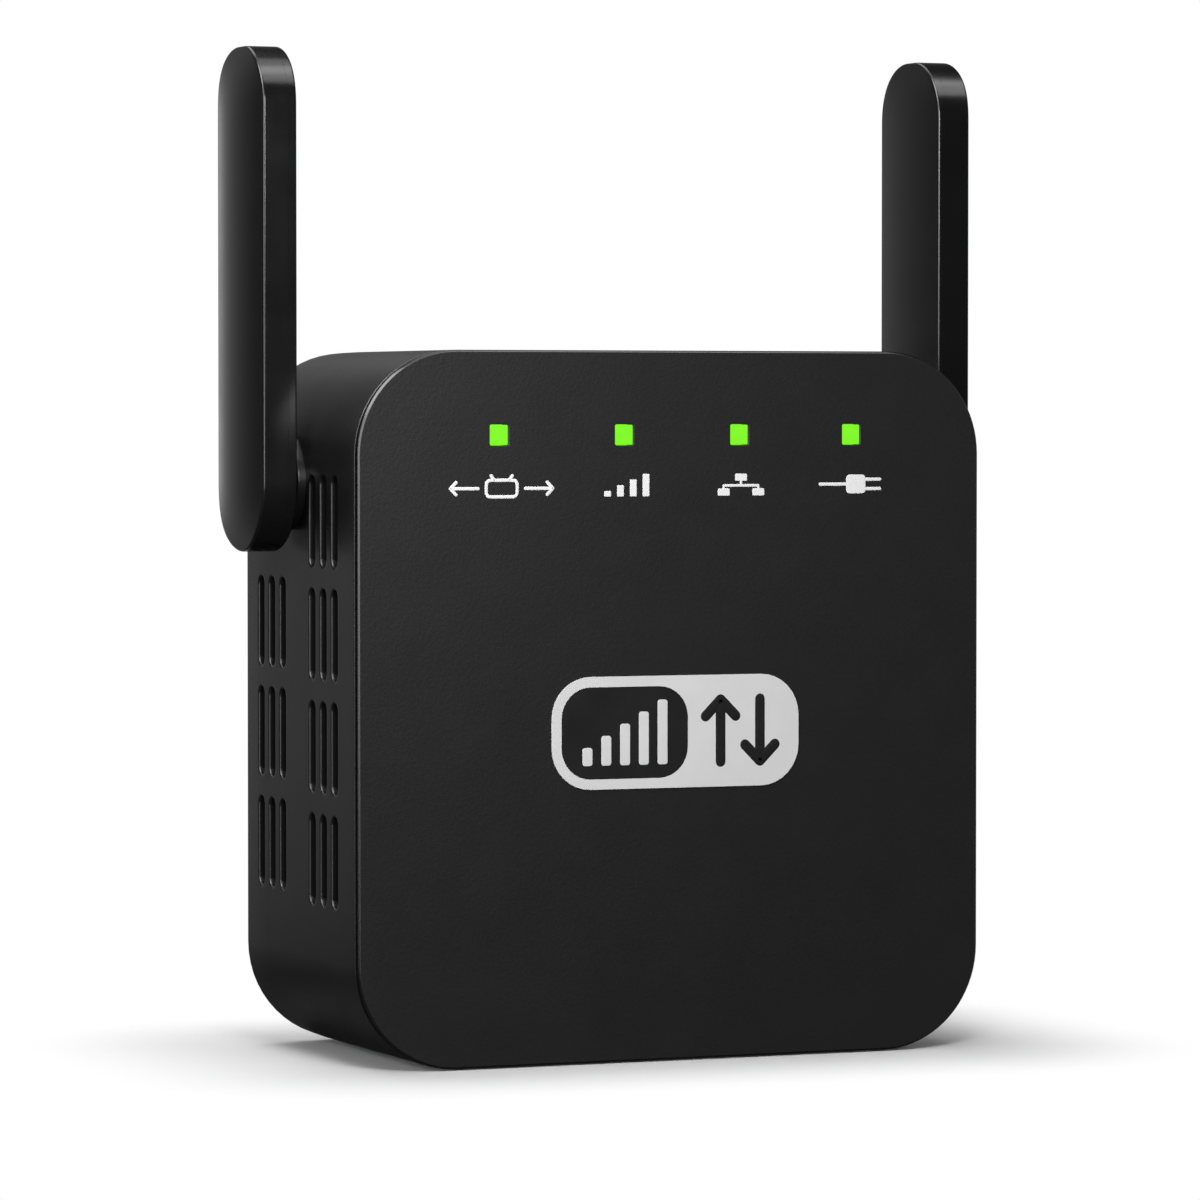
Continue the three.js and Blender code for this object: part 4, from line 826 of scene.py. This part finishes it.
def plug_pieces():
    xs = lines(-14.2, (-14, 1), (-5, 8), (5, 6), (14, 8), (14.2, 1))
    zs = lines(PLUG_Z - PIN_CELL, (PLUG_Z + PIN_CELL, 8))
    counts = (len(xs) - 1, len(zs) - 1)
    side = [*rounding(0, PLUG_FACE, PLUG_EDGE, way=-1, steps=6), (0, FLANGE[0]),
            (-FLANGE_REACH, FLANGE[0]), (-FLANGE_REACH, FLANGE[1]), (PLUG_WALL, FLANGE[1]),
            (PLUG_WALL, PLUG_FACE - PLUG_WALL)]
    rows = np.stack([along_y(plug_loop(counts, inset), y) for inset, y in side])
    holes = [((x, z), (PIN_CELL, PIN_CELL), partial(opening, (x, z), (PIN_BORE,) * 2, PIN_BORE),
              0.3, [(0, POCKET), (1.7, POCKET), (1.7, PLUG_WALL)]) for x, _, z in pin_at]
    return [patch(rows, True),
            *pierced(xs, zs, PLUG_FACE, -1, PLUG_WALL, holes, (rows[0], rows[-1]))]


make("plug_moulding", plug_pieces(), plug_plastic, ["plug_block"])

# ---- pins and sleeves: turned profiles

PIN, NECK, PIN_COLLAR, NOSE = 2, 1.2, 2.8, 1.8  # radii, and the length of the rounded nose
PIN_STOP = (PLUG_FACE - 10.8, PLUG_FACE - 9.6)  # ends in y of the collar that stops the pin
SLEEVE_BORE = 1.5

for label, (x, _, z) in zip(("left", "right"), pin_at):
    pin_low, pin_high = span(label + "_plug_pin")
    sleeve_low, sleeve_high = span(label + "_pin_sleeve")
    nose = [(PIN * math.cos(t), pin_high[1] - NOSE + NOSE * math.sin(t))
            for t in np.linspace(0, math.pi / 2, 9)]
    pin = [(0, pin_low[1]), (NECK, pin_low[1]), (NECK, PIN_STOP[0]), (PIN_COLLAR, PIN_STOP[0]),
           (PIN_COLLAR, PIN_STOP[1]), (PIN, PIN_STOP[1]), (PIN, sleeve_low[1] - GAP),
           (NECK, sleeve_low[1] - GAP), (NECK, sleeve_high[1] + 0.1),
           (PIN - 0.1, sleeve_high[1] + 0.1), (PIN, sleeve_high[1] + 0.2), *nose]
    make(label + "_pin", [lathe(pin, (x, z), along_y, 40)], nickel, [label + "_plug_pin"],
         sharp=45)
    radius = (sleeve_high[0] - sleeve_low[0]) / 2
    sleeve = [(SLEEVE_BORE, sleeve_low[1]), (radius, sleeve_low[1]),
              (radius, sleeve_high[1] - 0.15), (radius - 0.15, sleeve_high[1]),
              (SLEEVE_BORE, sleeve_high[1])]
    make(label + "_sleeve", [lathe(sleeve, (x, z), along_y, 40)], sleeve_nylon,
         [label + "_pin_sleeve"])

# ---- antennas: crowned paddles, each a shell closed by an inner lid that carries the trunnion

shell_low, shell_high = span("right_antenna_shell")
lid_low, _ = span("right_antenna_lid")
clip_low, clip_high = span("right_antenna_clip")
PADDLE_HALF = (shell_high[1] - shell_low[1]) / 2
PADDLE_TOP = shell_high[2] - AXIS_Z
PADDLE_TOP_RADIUS = 6.9
CROWN = 0.8
INNER_CROWN = 0.4
COLLAR = 0.65
INNER = SEAT_X - HALF_WIDTH + GAP + COLLAR  # the inner face's long edges
RIDGE = shell_high[0] - HALF_WIDTH  # the outer crown's highest line
PADDLE_EDGE = 0.3
PADDLE_WALL = 1.4
SEAM = (shell_low[0] - HALF_WIDTH - 0.02, shell_low[0] - HALF_WIDTH)
PLATEAU = 0.5  # raised inside the shell's walls to centre the lid
TRUNNION = (2, 2.8, 3.5)  # radii of its bore, of its clip's groove and of itself
FADE = 9  # length over which the crown runs out at each end
paddle_rows = outline((0, 90, 180, 270), (PADDLE_HALF, PADDLE_TOP, PADDLE_HALF, PADDLE_HALF),
                      [PADDLE_TOP_RADIUS] * 2 + [PADDLE_HALF] * 2)
PADDLE_ACROSS = 16
paddle_runs = [18, PADDLE_ACROSS, 18, 24, 20, 0, 20, 24]
paddle_along = np.roll(spots(paddle_rows, paddle_runs), -sum(paddle_runs[:6]))


def crowned(edge_height, rise):
    """Height of a face: a shallow parabola across the paddle, rise above its long edges; the
    rise fades over the last FADE to each end, as one minus the square of the way there."""
    def height(uv):
        beyond = np.maximum(uv[..., 1] - PADDLE_TOP, -PADDLE_HALF - uv[..., 1])
        fade = 1 - np.clip(beyond / FADE + 1, 0, 1) ** 2
        return edge_height + rise * fade * (1 - (uv[..., 0] / PADDLE_HALF) ** 2)

    return height


def antenna_pieces(side):
    """The two halves of a paddle, drawn about the pivot and placed outwards from the side face."""
    def place(uv, height):
        return along_x(uv + [AXIS_Y, AXIS_Z], side * (HALF_WIDTH + height))

    def ring(inset):
        return loop(paddle_rows, paddle_along, inset)

    def half_case(face, seam, step):
        """A crowned face, its rounded edge, the side wall down to the seam and the end inside."""
        edge = face(ring(PADDLE_EDGE))
        way = -1 if edge[0] > seam else 1
        rows = [place(ring(inset), edge + way * drop)
                for inset, drop in rounding(0, 0, PADDLE_EDGE, steps=6)]
        rows += [place(ring(inset), height) for inset, height in ((0, seam), (step[0], seam), step)]
        return [patch(np.stack(rows), True),
                closed_face(ring(PADDLE_EDGE), PADDLE_ACROSS, place, face),
                closed_face(ring(step[0]), PADDLE_ACROSS, place, crowned(step[1], 0))]

    shell = half_case(crowned(RIDGE - CROWN, CROWN), SEAM[1], (PADDLE_WALL, RIDGE - CROWN - 0.6))
    lid = half_case(crowned(INNER, -INNER_CROWN), SEAM[0], (PADDLE_WALL + 0.2, SEAM[0] + PLATEAU))
    groove = [x - HALF_WIDTH for x in (clip_low[0] - 0.15, clip_high[0] + 0.15)]
    tail = lid_low[0] - HALF_WIDTH
    collar = INNER - COLLAR
    bore, root, full = TRUNNION
    trunnion = [(bore, tail), (full - 0.4, tail), (full, tail + 0.4), (full, groove[0]),
                (root, groove[0]), (root, groove[1]), (full, groove[1]), (full, collar),
                (SEAT_RADIUS - 0.15, collar), (SEAT_RADIUS, collar + 0.15),
                (SEAT_RADIUS, INNER + 0.2), (bore, INNER + 0.2)]
    lid.append(lathe(trunnion, (0, 0), place, 64))
    return shell, lid


for label, side in (("left", -1), ("right", 1)):
    shell, lid = antenna_pieces(side)
    for name, patches, node in (("paddle", shell, "shell"), ("paddle_lid", lid, "lid")):
        make(f"{label}_{name}", patches, antenna_abs, [f"{label}_antenna_{node}"],
             label + "_antenna", sharp=50)

# ---- closing screws in their wells: pan heads with a cross recess


def cross_loop(half_width, half_length, steps=4):
    """A plus sign's outline from its lower right inner corner: each quarter goes out along an arm,
    across its end and back in, divided evenly."""
    w, r = half_width, half_length
    arm = np.array([[w, -w], [r, -w], [r, w]])
    quarter = np.array([[0, 1], [-1, 0]])
    corners = np.vstack([arm @ np.linalg.matrix_power(quarter, k) for k in range(5)])[:13]
    at = np.arange(12 * steps) / steps
    return np.stack([np.interp(at, np.arange(13), column) for column in corners.T], -1)


SHANK, HEAD, HEAD_HEIGHT = 1.1, 2.2, 1.8  # the closing screws: radii, and the head's height


def screw_patch(low, high, centre):
    """Shank, head and recess as one grid of rings in step with the recess's outline."""
    count = len(cross_loop(1, 2))
    circle = direction(np.radians(np.linspace(-45, 315, count, endpoint=False)))
    seat = high - HEAD_HEIGHT
    profile = [(0, low), (SHANK / 2, low), (SHANK, low + SHANK), (SHANK, seat), (HEAD - 0.1, seat),
               (HEAD, seat + 0.1), (HEAD, seat + 0.8), (2.08, seat + 1.25), (1.75, seat + 1.6),
               (1.35, high - 0.02)]
    rows = [along_y(centre + circle * r, y) for r, y in profile]
    rows += [along_y(centre + cross_loop(w, r), y) for w, r, y in
             ((0.34, 1.2, high), (0.3, 1.12, high - 0.06), (0.2, 0.7, high - 0.95))]
    rows.append(along_y(centre + circle * 0, high - 1.1))
    return patch(np.stack(rows), True)


for label, at in zip(("left", "right"), screw_at):
    screw_low, screw_high = span(label + "_housing_screw")
    make(label + "_closing_screw", [screw_patch(screw_low[1], screw_high[1], at[[0, 2]])], zinc,
         [label + "_housing_screw"])

# ---- printed label on the front: pale film with a dark field, rising bars and two plain arrows

BADGE, BADGE_HALF = np.array([0.17, 38.0]), (15.55, 6.5)
FIELD, FIELD_HALF = BADGE + [-6.45, 0], (7.9, 5.3)
FILM, INK = 0.12, 0.035  # thickness of the film, and of what is printed


def film(half, radius, centre, low, high, counts=(8, 10)):
    """A thin printed plate on the front, its edge softly rounded."""
    rows = box_outline(*half, radius, centre)
    return tablet(rows, list(counts) * 4, FRONT_Y - low, FRONT_Y - high, 0.03, along_y)


make("label_film", film(BADGE_HALF, 4.8, BADGE, -0.05, FILM), label_silver)
make("label_dark_field", film(FIELD_HALF, 3.6, FIELD, FILM - 0.05, FILM + INK), label_black)
BAR_HALF, BAR_PITCH = 0.62, 2.35
BAR_FOOT = 3.75  # under the middle of the dark field
bars = []
for step in range(5):
    rise = 2.1 + 1.35 * step
    centre = FIELD + [BAR_PITCH * (step - 2), rise / 2 - BAR_FOOT]
    bars += film((BAR_HALF, rise / 2), 0.3, centre, FILM, FILM + 2 * INK, (3, 4))
make("label_rising_bars", bars, label_silver)


def printed(drawn, width, base=0.0):
    """Inked lines, each subdivided evenly and drawn at one width."""
    found = []
    for line in drawn:
        line = np.asarray(line, float)
        away = np.concatenate([[0], np.cumsum(np.linalg.norm(np.diff(line, axis=0), axis=1))])
        at = np.linspace(0, away[-1], 2 * len(line) + 3)
        points = np.stack([np.interp(at, away, column) for column in line.T], -1)
        found.append(stroke(points, width, INK, base))
    return found


def arrow(centre, reach, head, way):
    """An arrow along the direction way: its shaft and the two sides of its head."""
    centre, way = np.array(centre), np.array(way)
    tip = centre + reach * way
    side = head * np.array([-way[1], way[0]])
    return [[centre - reach * way, tip], [tip - head * way + side, tip],
            [tip - head * way - side, tip]]


arrows = [*arrow(BADGE + [5.6, 0], 3.6, 1.9, (0, 1)), *arrow(BADGE + [10.6, 0], 3.6, 1.9, (0, -1))]
make("label_arrows", printed(arrows, 0.62, FILM), label_black)

# ---- pad-printed signs under the windows, one for each lamp: range, signal, network and power

SIGN_Z = 66.5
HIGH = 1.3  # half a sign's height


def outlined(half_x, half_z, radius, centre, count=24):
    """A closed rounded rectangle as one line that meets itself."""
    rows = box_outline(half_x, half_z, radius, centre)
    return loop(rows, np.linspace(0, rows[-1, 4], count + 1))


def sign(name, x, drawn=(), blocks=(), width=0.19, counts=(2, 3)):
    """A sign about (x, SIGN_Z): inked lines, and blocks of (dx, dz, half x, half z, radius)."""
    at = np.array([x, SIGN_Z])
    patches = printed([np.array(line) + at for line in drawn], width)
    for dx, dz, half_x, half_z, radius in blocks:
        patches += film((half_x, half_z), radius, at + [dx, dz], 0, INK, counts)
    make(name, patches, white_ink)


sign("range_sign", -21.5, [
    outlined(1.9, 0.95, 0.4, (0, -0.3)), [(-0.9, 0.65), (-1.3, 1.15)], [(0.9, 0.65), (1.3, 1.15)],
    *arrow((4.6, -0.3), 1.7, 0.7, (1, 0)), *arrow((-4.6, -0.3), 1.7, 0.7, (-1, 0))])
rises = [HIGH * (step + 1) / 4 for step in range(4)]
sign("signal_sign", -6.0, blocks=[
    (1.6 * (step - 1.5), rise - HIGH, 0.42, rise, 0.08) for step, rise in enumerate(rises)])
sign("network_sign", 8.4, [
    [(0, 0.5), (0, -0.1)], [(-2.2, -0.1), (2.2, -0.1)], [(-2.2, -0.1), (-2.2, -0.5)],
    [(2.2, -0.1), (2.2, -0.5)]],
    [(dx, dz, 0.75, 0.42, 0.12) for dx, dz in ((0, 0.85), (-2.2, -0.85), (2.2, -0.85))], 0.15)
sign("power_sign", 23.0, [
    [(-4.5, 0), (-1.2, 0)], [(1.4, 0.55), (3.2, 0.55)], [(1.4, -0.55), (3.2, -0.55)]],
    [(0.1, 0, 1.25, 1.1, 0.45)], counts=(4, 4))

# ======== camera, floor and light

def aimed(made, location, way):
    """Puts a camera or a lamp at a place, looking along a direction."""
    made.location = location
    made.rotation_mode = "QUATERNION"
    made.rotation_quaternion = Vector(way).to_track_quat("-Z", "Y")


scene = bpy.context.scene
camera = placed("camera", bpy.data.cameras.new("camera"))
aimed(camera, (-0.2757, -0.6522, 0.0753), (0.3879, 0.9218, -0.0320))
camera.data.lens = 179.4
camera.data.sensor_width = 36.0
camera.data.clip_start, camera.data.clip_end = 0.01, 50.0
scene.camera = camera


def lamp(name, location, target, size, watts, mirrored=True, lights=True):
    """A soft square lamp facing a point; without mirrored it leaves no highlights, as a
    polarised fill light does, and without lights it leaves nothing but highlights."""
    data = bpy.data.lights.new(name, "AREA")
    data.size, data.energy = size, watts
    made = placed(name, data)
    aimed(made, location, Vector(target) - Vector(location))
    made.visible_camera = False
    made.visible_glossy = mirrored
    made.visible_diffuse = lights


lamp("near", (-0.06, -0.19, 0.135), (-0.01, 0, 0.06), 0.055, 0.25)
lamp("softbox left", (-0.72, -0.42, 0.20), (0, 0, 0.05), 0.5, 4.5)
lamp("softbox upper left", (-0.54, -0.30, 0.75), (0, 0, 0.09), 0.66, 14.0, lights=False)
lamp("softbox over right", (0.31, -0.34, 0.80), (0, 0, 0.05), 0.45, 2.2, lights=False)
lamp("softbox overhead", (0.12, -0.12, 0.95), (0, 0, 0.09), 0.6, 2.4, lights=False)
lamp("softbox behind", (-0.15, 0.45, 0.75), (0, 0, 0.0), 0.6, 2.6)
lamp("fill right", (0.72, 0.28, 0.42), (0, 0, 0.05), 0.6, 1.3, mirrored=False)


DARK = 0.02  # brightness of the room where no glow reaches


def behind(tree, way):
    """How bright the studio looks in a direction: near white straight behind the object, a dim
    glow round that and on the right, and nearly dark elsewhere. It adds share max(axis, 0) to the
    power sharpness for each glow."""
    parts = add(tree, "SeparateXYZ", {0: way})
    level = DARK
    for axis, sharpness, share in (("Y", 8.0, 0.33), ("Y", 150.0, 0.55), ("X", 4.0, 0.25)):
        peak = maths(tree, "POWER", maths(tree, "MAXIMUM", parts[axis], 0.0), sharpness)
        level = maths(tree, "MULTIPLY_ADD", peak, share, level)
    return level


def rays(tree):
    """1 for what the camera sees straight, and 1 for what is mirrored or seen through clear."""
    path = add(tree, "LightPath")
    return path["Is Camera Ray"], maths(tree, "MAXIMUM", path["Is Glossy Ray"],
                                        path["Is Transmission Ray"])


ROOM_LIGHT = 0.15
PAPER_HALF, PAPER_FADE = (0.034, 0.015, 1), 0.034
FLOOR_REACH, FLOOR_Z = 30.0, -0.0002


def studio_world():
    """White for the camera; anything that mirrors the room sees white only behind the object."""
    scene.world, tree = blank("studio", bpy.data.worlds)
    seen, mirrored = rays(tree)
    room = behind(tree, add(tree, "TexCoord")["Generated"])
    level = mix(tree, seen, mix(tree, mirrored, ROOM_LIGHT, room), 1.0)
    background = add(tree, "Background", {"Color": (1, 1, 1, 1), "Strength": level})[0]
    add(tree, "OutputWorld", {"Surface": background})


def white_floor():
    """Matt paper lit by the lamps near the object, so that its shadow shows, and blending to the
    background over PAPER_FADE beyond PAPER_HALF. It throws little light back up, as a dark table
    under thin paper."""
    material, tree = blank("matt white paper")
    place = add(tree, "TexCoord")["Object"]
    vector = partial(maths, tree, kind="VectorMath")
    way = vector("NORMALIZE", place)
    past = vector("SUBTRACT", vector("ABSOLUTE", place), PAPER_HALF)
    away = vector("LENGTH", vector("MAXIMUM", past, (0, 0, 0)), out="Value")
    far = add(tree, "MapRange", {"Value": away, "From Max": PAPER_FADE},
              interpolation_type="SMOOTHSTEP")[0]
    seen, mirrored = rays(tree)
    share = maths(tree, "MULTIPLY", far, maths(tree, "MAXIMUM", seen, mirrored))
    tint = mix(tree, seen, linear("#5c5c5c"), linear("#f2f2f2"), "RGBA")
    paper = add(tree, "BsdfDiffuse", {"Color": tint})[0]
    glow = mix(tree, seen, behind(tree, way), 1.0)
    white = add(tree, "Emission", {"Strength": glow})[0]
    mixed = add(tree, "MixShader", {0: share, 1: paper, 2: white})[0]
    add(tree, "OutputMaterial", {"Surface": mixed})
    mesh = bpy.data.meshes.new("floor")
    corners = [(x * FLOOR_REACH, y * FLOOR_REACH, FLOOR_Z)
               for x, y in ((-1, -1), (1, -1), (1, 1), (-1, 1))]
    mesh.from_pydata(corners, [], [(0, 1, 2, 3)])
    mesh.materials.append(material)
    placed("floor", mesh)


studio_world()
white_floor()
scene.view_settings.view_transform = "Standard"
